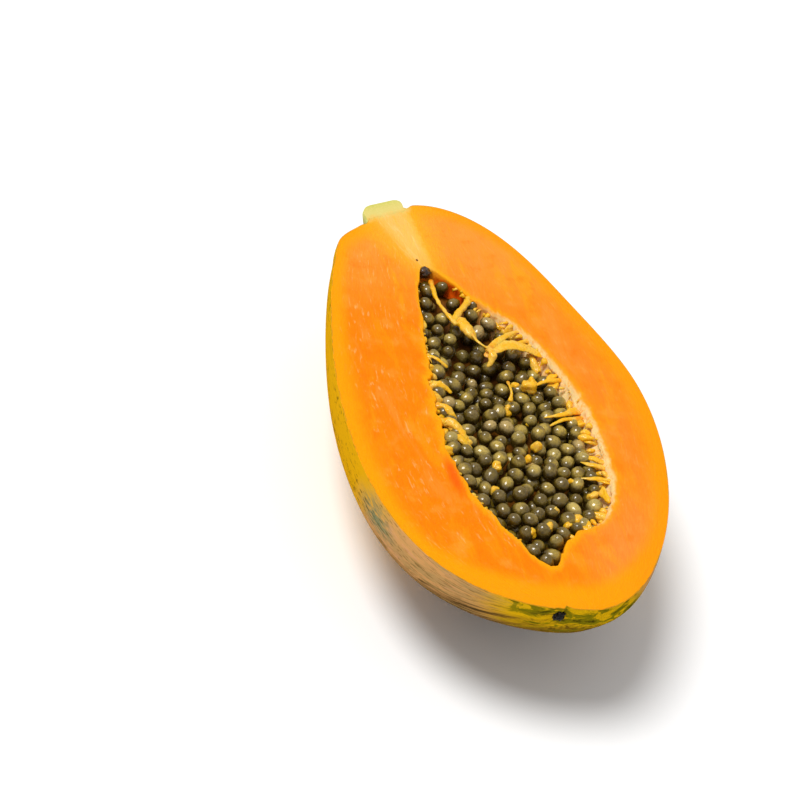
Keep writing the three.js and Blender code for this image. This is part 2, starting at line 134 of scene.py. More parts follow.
# Strands that cross the cavity and webs that hang from its wall: a flatness, the radii at even steps
# and as many [x, y, z] points from one end to the other.
STRANDS = [
    (0.8, [0.9, 0.8, 0.6, 0.7, 1],
     [[37, -5.6, -2.6], [43, -6.8, -1.2], [50, -7.2, -0.5], [56.4, -5.9, -0.4], [60, -4.2, -1.2]]),
    (0.8, [1.3, 1.2, 0.9, 1.1, 1.3],
     [[45, 5, -2.6], [48.5, 3.4, -0.9], [52, 0.8, -0.4], [55, -2, -0.7], [58.2, -4, -1.4]]),
    (0.6, [0.9, 1.8, 2, 1.6, 0.6],
     [[56, -3.6, -1.8], [59, -2, -0.9], [62.3, -1.6, -0.7], [65, -0.7, -0.8], [67, 0.4, -1.4]]),
    (0.8, [0.7, 0.4, 0.35, 0.45],
     [[64.6, -0.6, -0.6], [69, -0.7, 0.4], [71.6, 0.6, 0.5], [72.8, 2.4, 0]]),
    (0.4, [0.9, 1.2, 1, 0.8, 0.5],
     [[73.2, 2, -0.6], [70.4, 5.4, 0.1], [67.4, 9.2, 0.1], [64.6, 13, -0.6], [62.4, 16.4, -1.8]]),
    (0.25, [0.9, 1.9, 2.2, 2, 1.4],
     [[74.2, 1.4, -1.6], [72.4, 5, -0.3], [71, 9.6, 0], [71.4, 14.6, -0.6], [73, 20.4, -2.4]]),
    (0.7, [1.1, 1.3, 1, 0.5],
     [[72, 2.6, -0.3], [74.6, 3.2, -0.5], [76.6, 2.6, -1.6], [77.6, 1.4, -3]]),
    (0.7, [0.9, 0.6, 0.5, 0.6],
     [[74.6, -20.6, -2.4], [75.8, -17.4, -0.5], [77.4, -15.6, -0.1], [79.6, -12.8, -1.4]]),
    (0.7, [0.6, 0.4, 0.4, 0.7],
     [[84, 6.2, -3.6], [88.1, 5, -1.8], [90.8, 4.8, -2], [92.6, 4.2, -3.6]]),
    (0.6, [1.6, 1.5, 1.1, 0.5],
     [[88, -21.6, -2], [87.7, -18.9, -1], [88.6, -16.4, -1.2], [90.2, -14.4, -2.2]]),
    (0.7, [1.3, 1.3, 1.1, 0.6],
     [[95.6, -21.8, -2.2], [97.6, -19, -1], [99.4, -17.6, -1.3], [101.6, -16.2, -2.6]]),
    (0.7, [1.4, 1.6, 1.4, 0.9],
     [[103, -22.2, -2.2], [104.6, -19.2, -0.8], [107, -17.2, -1.1], [110.4, -15.8, -2.4]]),
    (0.7, [1.2, 1.2, 1.1, 0.6],
     [[108.6, -21.8, -2.2], [110.4, -18.8, -1.1], [112.2, -16.8, -1.6], [113.6, -14.8, -3]]),
    (0.6, [1.1, 0.9, 0.6, 0.25],
     [[98, 24.6, -3.4], [99.8, 19.6, -2.4], [100.4, 16.2, -2.6], [100.2, 12.8, -3.4]]),
    (0.6, [1, 0.8, 0.6, 0.2],
     [[100.6, 24.8, -3.8], [101.6, 19.4, -3], [102.4, 16.4, -3.2], [103.4, 13.4, -4]]),
    (0.6, [1.2, 1, 0.7, 0.25],
     [[121, 26.4, -3.4], [119.6, 22.4, -2.6], [117.8, 20.2, -2.9], [115.6, 18.4, -3.6]]),
    (0.6, [1.1, 0.9, 0.7, 0.25],
     [[123, 26.2, -3.6], [122, 22, -2.8], [120.8, 19.8, -3.2], [119, 18.2, -3.9]]),
    (0.6, [1.1, 0.9, 0.6, 0.2],
     [[128, 25, -3.8], [127, 20.6, -3.1], [126.4, 18.4, -3.5], [125.4, 16, -4.2]]),
    (0.6, [1, 0.8, 0.5, 0.2],
     [[66, 19.8, -2.6], [67.6, 15.4, -1.8], [69, 13.2, -2.4], [70.4, 11.4, -3.4]]),
    (0.6, [1, 0.9, 0.6, 0.2],
     [[84, 25.2, -3], [85, 19.6, -2.3], [85.4, 16.8, -2.6], [86.4, 14, -3.4]]),
]

# Yellow tufts of torn strand among the seeds: [x, y, rise above the bed, radius].
TUFTS = np.array([
    [113.2, 6.2, 0.6, 1.7], [121.6, -9.4, 0.9, 1.5], [147.7, -2.5, 0.9, 1.4], [148.7, -7.4, 0.7, 1.2],
    [92.9, 3.9, 0.9, 1.6], [105.2, -18.6, 0.8, 1.7], [110.4, -16, 0.9, 1.9], [131, -13, 0.5, 1.2],
    [139, 3, 0.6, 1.3], [127, 12.5, 0.7, 1.4], [83.4, 9.6, 0.6, 1.3], [133, 17, 0.8, 1.5],
    [143, 9, 0.8, 1.6], [146, 4.6, 0.6, 1.2], [118, 1.6, 0.3, 1], [100, 8.4, 0.3, 1.1],
    [86, 12, 2.2, 2], [84.4, 14.2, 2, 1.6],
])

# Stem stub: a lathe profile of [radius, height] that slopes by the slant.
STUB_BASE = [9.57, -12.9]
STUB_SLANT = 0.36
STUB_PROFILE = [[6.9, 0.0], [7.0, 2.0], [7.1, 4.2], [7.3, 6.2], [7.1, 8.0], [6.2, 9.4], [4.6, 10.0]]
SCAR_CENTRE = [178.3, -9.1, -3.3]
SCAR_RADIUS = 1.9

# Where the flesh turns to stalk: a line across the face that slopes by this much of y.
STALK_SLOPE = 0.38

# The pale fan below the stub: its middle line and half width at the stem end, and what each gains
# or loses with x.
FAN_MIDDLE, FAN_TURN = -12.4, 0.155
FAN_HALF_WIDTH, FAN_NARROWING = 7.6, 0.12

# Spots of colour: a middle, half sizes and how far the edge fades.
BLUSH_SPOT = ((127.0, -25.0, 0.0), (6.5, 1.6, 9.0), 0.8)
POCKET_SPOT = ((43.0, -1.0, -4.5), (9.0, 7.0, 4.0), 0.25)
DOT_SPOT = ((29.6, -8.7, 0.0), (0.55, 0.4, 1.0), 0.25)
TEAL_SPOT = ((136.0, -46.0, -6.0), (8.5, 8.0, 4.5), 0.6)

# Stage. The key light's disc and the way to it, and half the floor's side in metres.
KEY_ANGLE = math.radians(26)
KEY_WAY = (-0.09, -0.38, 0.92)
FLOOR_HALF = 3.0
SENSOR = 36

# Spikes and tufts at the cavity's wall: where their random numbers start, the middle of the cavity
# for them, and how far from it along the fruit they are all gone and all there.
SPIKES = {"draw": 907, "middle": 98, "gone": 62, "full": 50}
WALL_TUFTS = {"draw": 3307, "middle": 103, "gone": 54, "full": 44}
TONE_DRAW = 77

# For the colours: a distance at which neither skin nor rim shows, and where the bare wall's cream
# fades towards the blossom.
FAR = 20.0
CREAM_END = (150.0, 138.0)

# The generator of random numbers, and how far rays are followed.
DRAW_FACTOR, DRAW_MODULUS = 16807, 2147483647
RAY_LONGEST = 140.0
RAY_HALVINGS = 34


def paint(red, green, blue):
    """A colour given in display values from 0 to 255, as the linear colour that a shader takes."""
    shares = [value / 255 for value in (red, green, blue)]
    linear = [s / 12.92 if s <= 0.04045 else ((s + 0.055) / 1.055) ** 2.4 for s in shares]
    return (*linear, 1.0)


# Tints that lie over the main colours.
DEEP_SALMON = paint(250, 126, 38)
PINK_SALMON = paint(252, 140, 58)
YELLOW_STREAK = paint(254, 162, 10)
SALMON_STREAK = paint(253, 148, 56)
DEEP_ORANGE = paint(247, 118, 2)
# Pale dashes: partly fibres, partly painted glints of moisture.
CREAM_DASH_AND_GLINT = paint(255, 196, 128)
RIGHT_EDGE = paint(252, 149, 2)
RIM_YELLOW = paint(253, 164, 10)
RIM_CREAM = paint(252, 200, 130)
FAN_GLOW = paint(253, 172, 30)
FAN_CREAM = paint(250, 214, 140)
FAN_VEIN = paint(252, 182, 60)
FAN_SIDE = paint(253, 182, 36)
STALK_FLESH = paint(222, 204, 116)
WALL_PEACH = paint(252, 190, 100)
POCKET_RED = paint(236, 92, 6)
DOT_BROWN = paint(70, 34, 12)
SKIN_GOLD = paint(232, 168, 24)
SKIN_OLIVE = paint(150, 130, 78)
SKIN_GREY = paint(150, 132, 84)
SKIN_PINK = paint(222, 158, 122)
BLOSSOM_YELLOW = paint(226, 178, 12)
BLOSSOM_GREEN = paint(92, 94, 12)
BLOSSOM_DARK = paint(46, 40, 10)
# Painted shade on the skin's lower side.
LOW_SIDE_PAINTED_SHADE = paint(78, 58, 24)
LOW_SIDE_DARK_PAINTED_SHADE = paint(46, 34, 12)
SEED_SAND = paint(178, 152, 92)
SEED_LIGHT = paint(214, 188, 100)
SEED_WRINKLE = paint(84, 62, 8)
# Painted shade on the seeds' undersides.
SEED_UNDERSIDE_PAINTED_SHADE = paint(50, 34, 1)
# Painted shade on the seeds deeper in the cavity.
DEEP_SEED_PAINTED_SHADE = paint(44, 26, 4)
BROKEN_DARK = paint(34, 16, 4)
BROKEN_BROWN = paint(92, 56, 22)
CORE_LIGHT = paint(140, 84, 14)
CORE_DARK = paint(40, 20, 4)
STRAND_GRAIN = paint(222, 140, 8)
STUB_CREAM = paint(236, 224, 150)
RIND_PALE = paint(206, 196, 110)
SCAR_BROWN = paint(60, 36, 14)


def length_property(name, description, millimetres):
    """A length, given in millimetres and kept in metres."""
    return bpy.props.FloatProperty(name=name, description=description, default=millimetres * MM,
                                   min=0.0, unit="LENGTH", precision=5)


def angle_property(name, description, degrees):
    """An angle, given in degrees and kept in radians."""
    return bpy.props.FloatProperty(name=name, description=description,
                                   default=math.radians(degrees), subtype="ANGLE")


def colour_property(name, description, red, green, blue):
    """A colour, given in display values from 0 to 255."""
    return bpy.props.FloatVectorProperty(name=name, description=description, subtype="COLOR", size=4,
                                         min=0.0, max=1.0, default=paint(red, green, blue))


class FleshLook(bpy.types.PropertyGroup):
    """Sizes and colours of the flesh, its cavity wall and the skin."""
    rim_round: length_property("Rim rounding", "How far the rim of the cavity is rounded", 0.6)
    bare_round: length_property("Bare rim rounding", "The same where the wall is bare of seeds", 1.6)
    orange: colour_property("Orange", "Most of the cut face", 249, 128, 2)
    salmon: colour_property("Salmon", "The cut face on the right", 251, 137, 20)
    pale: colour_property("Pale flesh", "Pale patches and the stem end", 253, 160, 62)
    edge: colour_property("Edge", "The band under the skin", 253, 157, 3)
    fan: colour_property("Fan", "The pale fan below the stub", 246, 190, 92)
    blush: colour_property("Blush", "Red flesh beside the cavity", 240, 78, 8)
    wall: colour_property("Wall", "The cavity wall below the rim", 250, 158, 30)
    cream: colour_property("Cream", "Pale fibres of the bare wall", 252, 220, 156)
    rust: colour_property("Rust", "The deep pockets at the stem side", 200, 70, 4)
    rind: colour_property("Rind", "The thin line of skin round the cut face", 190, 140, 30)
    skin_yellow: colour_property("Yellow skin", "Ripe skin", 214, 158, 14)
    skin_tan: colour_property("Tan skin", "Dull skin towards the belly", 206, 152, 92)
    skin_green: colour_property("Green skin", "Green streaks and patches", 104, 106, 10)
    skin_teal: colour_property("Teal skin", "Unripe bluish patches", 108, 124, 92)
    skin_brown: colour_property("Brown marks", "Specks and scratches", 84, 66, 20)


class SeedLook(bpy.types.PropertyGroup):
    """Sizes and colours of the seeds."""
    radius: length_property("Seed radius", "Half the mean size of a seed in its coat", 2.5)
    olive: colour_property("Olive", "The middle of a seed", 190, 160, 58)
    brown: colour_property("Brown", "The tips of a seed", 98, 78, 4)
    straw: colour_property("Straw", "The few unripe seeds", 190, 160, 92)
    core: colour_property("Core", "The packed seeds below", 92, 52, 8)


class PlacentaLook(bpy.types.PropertyGroup):
    """Sizes and colours of the strands, spikes and tufts."""
    spikes: bpy.props.IntProperty(
        name="Spikes", description="How many spikes stand out of the wall", default=170, min=10)
    amber: colour_property("Amber", "Strands and tufts", 248, 184, 18)
    cream: colour_property("Cream", "Their dry pale parts", 250, 206, 96)
    orange: colour_property("Orange", "Their roots", 240, 132, 8)


class StubLook(bpy.types.PropertyGroup):
    """Colours of the stem stub and the blossom scar."""
    cut: colour_property("Cut stalk", "The cut face of the stub", 198, 198, 88)
    rind: colour_property("Rind", "The outside of the stub", 206, 202, 104)
    # Painted shade on the rind's lower side, its edge broken into lengthwise marks.
    shade: colour_property("Rind marks and painted shade", "Dark marks and painted shade low on the rind", 122, 112, 40)
    scar: colour_property("Scar", "The dry blossom scar", 12, 7, 3)


class StageLook(bpy.types.PropertyGroup):
    """The floor, the lights and the camera."""
    aim: bpy.props.FloatVectorProperty(
        name="Aim", description="What the camera looks at, in the fruit's frame",
        default=(0.0956, -0.0325, 0.0), subtype="XYZ", unit="LENGTH")
    distance: length_property("Distance", "From the camera to what it looks at", 581.5)
    azimuth: angle_property("Azimuth", "The camera's turn about the vertical", 64.0)
    elevation: angle_property("Elevation", "How far the camera looks down", 39.28)
    roll: angle_property("Roll", "The camera's tilt to its side", 16.63)
    lens: bpy.props.FloatProperty(
        name="Lens", description="Focal length for a 36 mm sensor", default=90.0,
        subtype="DISTANCE_CAMERA")
    sun: bpy.props.FloatProperty(
        name="Key light", description="Strength of the soft key light", default=2.42)
    fill: bpy.props.FloatProperty(
        name="Fill light", description="Strength of the even fill light", default=0.48)
    floor: colour_property("Floor", "The plain pale floor", 252, 252, 252)


def smoothstep(value, low, high):
    """0 below low, 1 above high, and a smooth S between them."""
    share = np.clip((value - low) / (high - low), 0, 1)
    return share * share * (3 - 2 * share)


def catmull_rom(points, share, closed=False):
    """A smooth curve through points at even steps, read at shares from 0 to 1. On each stretch it is
    the cubic whose slope at a point is half the step from the point before to the point after."""
    points = np.asarray(points, float)
    share = np.asarray(share, float)
    if closed:
        place = (share % 1) * len(points)
        first = np.floor(place).astype(int)
        before, a, b, after = (points[(first + k) % len(points)] for k in (-1, 0, 1, 2))
    else:
        ends = [2 * points[:1] - points[1:2], points, 2 * points[-1:] - points[-2:-1]]
        padded = np.concatenate(ends)
        place = share * (len(points) - 1)
        first = np.clip(np.floor(place).astype(int), 0, len(points) - 2)
        before, a, b, after = (padded[first + k] for k in (0, 1, 2, 3))
    t = (place - first).reshape(place.shape + (1,) * (points.ndim - 1))
    out, into = (b - before) / 2, (after - a) / 2
    return a + out * t + (3 * (b - a) - 2 * out - into) * t**2 + (2 * (a - b) + out + into) * t**3


def draws(start, count, each):
    """A table of numbers from 0 to 1, row by row. Each state is the last one times the factor, modulo
    the modulus."""
    states = []
    state = start
    for _ in range(count * each):
        state = state * DRAW_FACTOR % DRAW_MODULUS
        states.append(state)
    return np.array(states).reshape(count, each) / DRAW_MODULUS


def lumps(points, size, draw, waves=14):
    """Smooth relief from about -1 to 1: the mean of sine waves in random directions, each 0.7 to 1.5
    sizes long, scaled up to unit spread."""
    random = draws(draw, waves, 4)
    up = 2 * random[:, 0] - 1
    turn = 2 * np.pi * random[:, 1]
    flat = np.sqrt(1 - up**2)
    directions = np.stack([flat * np.cos(turn), flat * np.sin(turn), up], 1)
    lengths = size * (0.7 + 0.8 * random[:, 2])
    total = sum(np.sin(points @ (2 * np.pi / lengths[k] * directions[k]) + 2 * np.pi * random[k, 3])
                for k in range(waves))
    return total * math.sqrt(2 / waves) / 1.6


def turned(axis):
    """Two unit vectors square to each axis in an array, and to each other."""
    axis = axis / np.linalg.norm(axis, axis=-1, keepdims=True)
    helper = np.where(np.abs(axis[..., 2:]) > 0.9, [1.0, 0.0, 0.0], [0.0, 0.0, 1.0])
    side = np.cross(axis, helper)
    side /= np.linalg.norm(side, axis=-1, keepdims=True)
    return side, np.cross(axis, side)


def bell(dent, first, second):
    """A dent's depth at places given by two coordinates: a bell curve about its middle."""
    middle, half = dent["middle"], dent["half"]
    return dent["depth"] * np.exp(-(((first - middle[0]) / half[0]) ** 2)
                                  - ((second - middle[1]) / half[1]) ** 2)


def unit_sphere(around, levels):
    """Rings of unit vectors from pole to pole, without the poles."""
    rise = np.linspace(0, np.pi, levels + 2)[1:-1, None]
    angle = 2 * np.pi * np.arange(around) / around
    return np.stack([np.sin(rise) * np.cos(angle), np.sin(rise) * np.sin(angle),
                     np.broadcast_to(np.cos(rise), (levels, around))], -1)


def shells(rings, first_poles, last_poles):
    """Points and faces of closed shells. Each shell is a stack of rings, closed at either end by a
    fan to its pole. Rings are an array of shells x rings x points x 3."""
    count, levels, around, _ = rings.shape
    grid = np.arange(count * levels * around).reshape(count, levels, around)
    beside = np.roll(grid, -1, axis=2)
    quads = np.stack([grid[:, :-1], beside[:, :-1], beside[:, 1:], grid[:, 1:]], -1)
    pole = np.broadcast_to(np.arange(count)[:, None], (count, around)) + count * levels * around
    start = np.stack([pole, beside[:, 0], grid[:, 0]], -1)
    end = np.stack([pole + count, grid[:, -1], beside[:, -1]], -1)
    points = [part.reshape(-1, 3) for part in (rings, first_poles, last_poles)]
    return np.concatenate(points), [part.reshape(-1, part.shape[-1]) for part in (quads, start, end)]


def facing_out(points, faces):
    """The same faces, all turned over if the volume that they enclose comes out negative: a sixth of
    the sum of a . (b x c) over all triangles."""
    triangles = np.concatenate([part[:, [0, k, k + 1]]
                                for part in faces for k in range(1, part.shape[1] - 1)])
    a, b, c = (points[triangles[:, k]] - points.mean(0) for k in range(3))
    volume = np.einsum("ij,ij->", a, np.cross(b, c))
    return faces if volume > 0 else [part[:, ::-1] for part in faces]


def add_piece(name, points, faces, materials, attributes, nodes, face_materials=None):
    """Makes a mesh object from points in millimetres in the fruit's frame, with its per-point
    attributes, and puts it in place of the model's nodes."""
    faces = facing_out(points, faces)
    mesh = bpy.data.meshes.new(name)
    corners = [face for part in faces for face in part.tolist()]
    mesh.from_pydata((points + FRUIT_ORIGIN) * MM, [], corners)
    for material in materials:
        mesh.materials.append(material)
    mesh.polygons.foreach_set("use_smooth", np.ones(len(mesh.polygons), bool))
    if face_materials is not None:
        mesh.polygons.foreach_set("material_index", face_materials.astype(np.int32))
    for key, values in attributes.items():
        kind, field = ("FLOAT", "value") if values.ndim == 1 else ("FLOAT_VECTOR", "vector")
        attribute = mesh.attributes.new(key, kind, "POINT")
        attribute.data.foreach_set(field, values.astype(np.float32).ravel())
    mesh.validate()
    mesh.update()
    piece = bpy.data.objects.new(name, mesh)
    bpy.context.scene.collection.objects.link(piece)
    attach(piece, "root")
    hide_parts(*nodes)
    return piece


class Wire:
    """One output of a node. Arithmetic on it adds Math nodes."""

    def __init__(self, finish, socket):
        self.finish, self.socket = finish, socket

    def math(self, operation, *values):
        return self.finish.node("ShaderNodeMath", {"operation": operation}, dict(enumerate(values)))

    def __add__(self, other):
        return self.math("ADD", self, other)

    def __sub__(self, other):
        return self.math("SUBTRACT", self, other)

    def __rsub__(self, other):
        return self.math("SUBTRACT", other, self)

    def __mul__(self, other):
        return self.math("MULTIPLY", self, other)

    def __truediv__(self, other):
        return self.math("DIVIDE", self, other)

    def __rtruediv__(self, other):
        return self.math("DIVIDE", other, self)

    __radd__ = __add__
    __rmul__ = __mul__


class Finish:
    """A material and the nodes that make its finish."""

    def __init__(self, name):
        self.material = bpy.data.materials.new(name)
        self.material.use_nodes = True
        self.tree = self.material.node_tree
        self.tree.nodes.clear()

    def node(self, kind, settings=None, values=None, output=0):
        """Adds a node: its settings first, then the values or wires of its sockets by name,
        identifier or number. Gives back one output, if it has any."""
        node = self.tree.nodes.new(kind)
        for key, value in (settings or {}).items():
            setattr(node, key, value)
        for key, value in (values or {}).items():
            socket = self.find(node.inputs, key)
            if isinstance(value, Wire):
                self.tree.links.new(value.socket, socket)
            else:
                socket.default_value = value
        return Wire(self, self.find(node.outputs, output)) if node.outputs else None

    @staticmethod
    def find(sockets, key):
        if isinstance(key, int):
            return sockets[key]
        return next(s for s in sockets if s.identifier == key or (s.name == key and s.enabled))

    def attribute(self, name, output="Fac"):
        """A per-point value of the mesh."""
        settings = {"attribute_type": "GEOMETRY", "attribute_name": name}
        return self.node("ShaderNodeAttribute", settings, output=output)

    def fruit_place(self):
        """Where a point is in the fruit's own frame, in millimetres."""
        place = self.node("ShaderNodeTexCoord", output="Object")
        return self.mapping(place, {"Location": tuple(-FRUIT_ORIGIN), "Scale": (1 / MM,) * 3})

    def stretch(self, vector, scale):
        """A place with its three axes scaled each by its own number."""
        return self.mapping(vector, {"Scale": scale})

    def mapping(self, vector, values):
        """A place scaled first and then moved."""
        return self.node("ShaderNodeMapping", {"vector_type": "POINT"}, {"Vector": vector, **values})

    def axes(self, vector):
        """The three coordinates of a place, each as a wire of its own."""
        first = self.node("ShaderNodeSeparateXYZ", {}, {"Vector": vector})
        return tuple(Wire(self, socket) for socket in first.socket.node.outputs)

    def noise(self, vector, scale, detail=2.0, roughness=0.5, distortion=0.0):
        """Soft clouds of values about 0.5."""
        values = {"Vector": vector, "Scale": scale, "Detail": detail, "Roughness": roughness,
                  "Distortion": distortion}
        return self.node("ShaderNodeTexNoise", {}, values)

    def rise(self, value, low, high):
        """0 below low, 1 above high, smooth between. With low above high it falls instead."""
        flip = low > high
        span = {"From Min": min(low, high), "From Max": max(low, high), "Value": value,
                "To Min": 1.0 if flip else 0.0, "To Max": 0.0 if flip else 1.0}
        return self.node("ShaderNodeMapRange", {"interpolation_type": "SMOOTHSTEP"}, span)

    def spot(self, place, centre, half_sizes, edge):
        """1 in an ellipsoid about a centre, fading to 0 beyond it."""
        kind = "ShaderNodeVectorMath"
        shifted = self.node(kind, {"operation": "SUBTRACT"}, {0: place, 1: centre})
        scaled = self.node(kind, {"operation": "DIVIDE"}, {0: shifted, 1: half_sizes})
        away = self.node(kind, {"operation": "LENGTH"}, {0: scaled}, output="Value")
        return self.rise(away, 1 + edge, 1 - edge)

    def mix(self, share, first, second):
        """Colours mixed by a share, the second over the first."""
        values = {"Factor_Float": share, "A_Color": first, "B_Color": second}
        return self.node("ShaderNodeMix", {"data_type": "RGBA", "clamp_factor": True}, values,
                         output="Result_Color")

    def layers(self, colour, *layers):
        """A colour with others laid over it in turn, each by its own share."""
        for share, over in layers:
            colour = self.mix(share, colour, over)
        return colour

    def relief(self, height, millimetres, strength=1.0, below=None):
        """A bump of that height, on top of another one."""
        values = {"Height": height, "Distance": millimetres * MM, "Strength": strength}
        if below is not None:
            values["Normal"] = below
        return self.node("ShaderNodeBump", {}, values, output="Normal")

    def surface(self, **values):
        """Closes the material with one shader whose sockets take these values."""
        named = {key.replace("_", " "): value for key, value in values.items()}
        shader = self.node("ShaderNodeBsdfPrincipled", {}, named, output="BSDF")
        self.node("ShaderNodeOutputMaterial", {}, {"Surface": shader})
        return self.material


def left_fullness(share):
    """The left side's table, less beside the stub and more on the shoulder below it."""
    x = share * FRUIT_LENGTH
    bells = sum(part["fullness"] * np.exp(-(((x - part["x"]) / part["half_length"]) ** 2))
                for part in LEFT_SHOULDER)
    return catmull_rom(LEFT_FULLNESS, share) + bells


def egg_place(points):
    """How far out each point is, 1 on the skin, and its angle about the fruit's length. Each side and
    the belly are scaled by their fullness times sqrt(x (length - x)), and the lobes are a sine of the
    angle."""
    x, y, z = points[..., 0], points[..., 1], points[..., 2]
    inside = np.clip(x, 1e-3, FRUIT_LENGTH - 1e-3)
    share, girth = inside / FRUIT_LENGTH, np.sqrt(inside * (FRUIT_LENGTH - inside))
    side = np.where(y > 0, catmull_rom(RIGHT_FULLNESS, share), left_fullness(share))
    u = y / (side * girth)
    w = (z + KNIFE_ABOVE_AXIS) / (catmull_rom(DEPTH_FULLNESS, share) * girth)
    angle = np.arctan2(w, u)
    out = np.hypot(u, w) / (1 - LOBE_HEIGHT * np.sin(LOBES * angle))
    beyond = np.where((x < 0) | (x > FRUIT_LENGTH), 2.0, 0.0)
    return out + beyond, angle


def reach(origin, directions):
    """How far each ray from a point inside runs to the skin, found by halving."""
    low = np.zeros(directions.shape[:-1])
    high = np.full(directions.shape[:-1], RAY_LONGEST)
    for _ in range(RAY_HALVINGS):
        middle = (low + high) / 2
        outside = egg_place(origin + directions * middle[..., None])[0] > 1
        high = np.where(outside, middle, high)
        low = np.where(outside, low, middle)
    return low


def rim_and_outline(share):
    """Points of the cavity's rim, the rays to them from the cavity's centre, and how far the same
    rays run to the cut edge."""
    rim = catmull_rom(CAVITY_RIM, share, closed=True)
    ray = (rim - CAVITY_CENTRE) / np.linalg.norm(rim - CAVITY_CENTRE, axis=1, keepdims=True)
    flat = np.column_stack([ray, np.zeros(len(ray))])
    return rim, ray, reach(FACE_CENTRE, flat)


def spoke_shares(count, samples=3001):
    """Shares along the rim for the spokes of the flesh, at even steps of half the rim's length and
    half the cut edge's."""
    fine = np.linspace(0, 1, samples)
    rim, ray, edge_reach = rim_and_outline(fine)
    edge = CAVITY_CENTRE + ray * edge_reach[:, None]
    steps = [np.linalg.norm(np.diff(line, axis=0), axis=1) for line in (rim, edge)]
    run = np.concatenate([[0], np.cumsum(sum(step / step.sum() for step in steps))])
    return np.interp(np.arange(count) / count * run[-1], run, fine)


def bare_share(y):
    """How far a place belongs to the bare right wall, from 0 to 1."""
    return smoothstep(y, BARE_WALL["start"], BARE_WALL["end"])


def skin_dents(points):
    """Pulls the skin in lengthwise: at the blossom end by a nick, a pit and folds that run out from
    the pit, the negative half of a cosine of the angle about it, and round the stub's seat by a bell
    curve of the distance from an ellipse."""
    x, y, z = points[..., 0], points[..., 1], points[..., 2]
    nick, pit = (bell(dent, y, z) * (x > BLOSSOM_SIDE) for dent in (BLOSSOM_NICK, BLOSSOM_PIT))
    about = np.arctan2(z - BLOSSOM_FOLDS["middle"][1], y - BLOSSOM_FOLDS["middle"][0])
    folds = BLOSSOM_FOLDS["depth"] * np.cos(BLOSSOM_FOLDS["count"] * about)
    folds = folds * smoothstep(x, BLOSSOM_FOLDS["start"], BLOSSOM_FOLDS["end"])
    middle, half = STUB_SEAT["middle"], STUB_SEAT["half"]
    seat = np.hypot((y - middle[0]) / half[0], (z - middle[1]) / half[1])
    ring = np.exp(-(((seat - STUB_SEAT["ring"]) / STUB_SEAT["width"]) ** 2))
    pulled = points.copy()
    pulled[..., 0] += STUB_SEAT["depth"] * ring * (x < STEM_SIDE) - nick - pit + np.minimum(folds, 0)
    return pulled


def ragged_rim(rim, ray, bare):
    """The rim with its torn edge: waves a few millimetres long, sharper and taller on the left."""
    place = np.column_stack([rim, np.zeros(len(rim))])
    broad, sharp, fine = lumps(place, 7, 71), np.abs(lumps(place, 3.6, 72)), lumps(place, 1.9, 73)
    waves = 0.5 * broad + 0.7 * sharp + 0.25 * fine
    inside_ends = smoothstep(rim[:, 0], 34, 46)
    return rim - ray * ((1.15 - 0.6 * bare) * waves * inside_ends)[:, None]


def skin_rings(ray, edge_reach, levels=70):
    """Rings of the skin from the flat underside up to the cut edge. Points lie where rays from the
    cavity's centre leave the egg, or meet the flat that it rests on. The rays rise from almost
    straight down to level, in finer steps at the edge."""
    lowest = -KNIFE_ABOVE_AXIS - DEPTH_FULLNESS[2] * FRUIT_LENGTH / 2 * (1 + LOBE_HEIGHT)
    rest = -(lowest + REST_FLAT_DEPTH)
    fine = SKIN_EDGE_STEPS / edge_reach[:, None]
    coarse = np.linspace(1 / edge_reach, STEEPEST, levels - len(SKIN_EDGE_STEPS), axis=1)
    dips = np.concatenate([fine, coarse], 1).T[::-1]
    flat = np.cos(dips)[..., None] * ray[None]
    directions = np.concatenate([flat, -np.sin(dips)[..., None]], -1)
    out = np.minimum(reach(FACE_CENTRE, directions) - SKIN_INSET, rest / np.sin(dips))
    return skin_dents(FACE_CENTRE + directions * out[..., None])


def face_rings(edge, rim, bare, rounding, levels=84):
    """Rings of the cut face on straight lines from its edge in to the rim, closer together near both,
    and the rays that they lie on. The rim is rounded off as a quarter circle, the face has a faint
    ripple, and the bare side is torn beside the rim."""
    edge_away = np.linalg.norm(edge[:, :2] - CAVITY_CENTRE, axis=1)
    rim_away = np.linalg.norm(rim - CAVITY_CENTRE, axis=1)
    ray = (edge[:, :2] - CAVITY_CENTRE) / edge_away[:, None]
    step = np.linspace(0, 1, levels)
    eased = (step + 0.7 * smoothstep(step, 0, 1)) / 1.7
    first = edge_away - SKIN_EDGE_STEPS[0]
    away = first[None] + (rim_away - first)[None] * eased[:, None]
    left = away - rim_away[None]
    curl = np.clip(1 - left / rounding[None], 0, 1)
    height = -rounding[None] * (1 - np.sqrt(1 - curl**2))
    flat = CAVITY_CENTRE + ray[None] * away[..., None]
    flat[-1] = rim
    face = np.concatenate([flat, height[..., None]], -1)
    ripple = 0.04 * (1 + lumps(face, 22, 31)) + 0.02 * (1 + lumps(face, 6, 32))
    torn = bare[None] * smoothstep(left, 3.2, 0.0) * (0.25 + 0.35 * np.abs(lumps(face, 2.8, 33)))
    face[..., 2] -= (ripple + torn) * smoothstep(step, 0, 0.02)[:, None]
    return face, ray


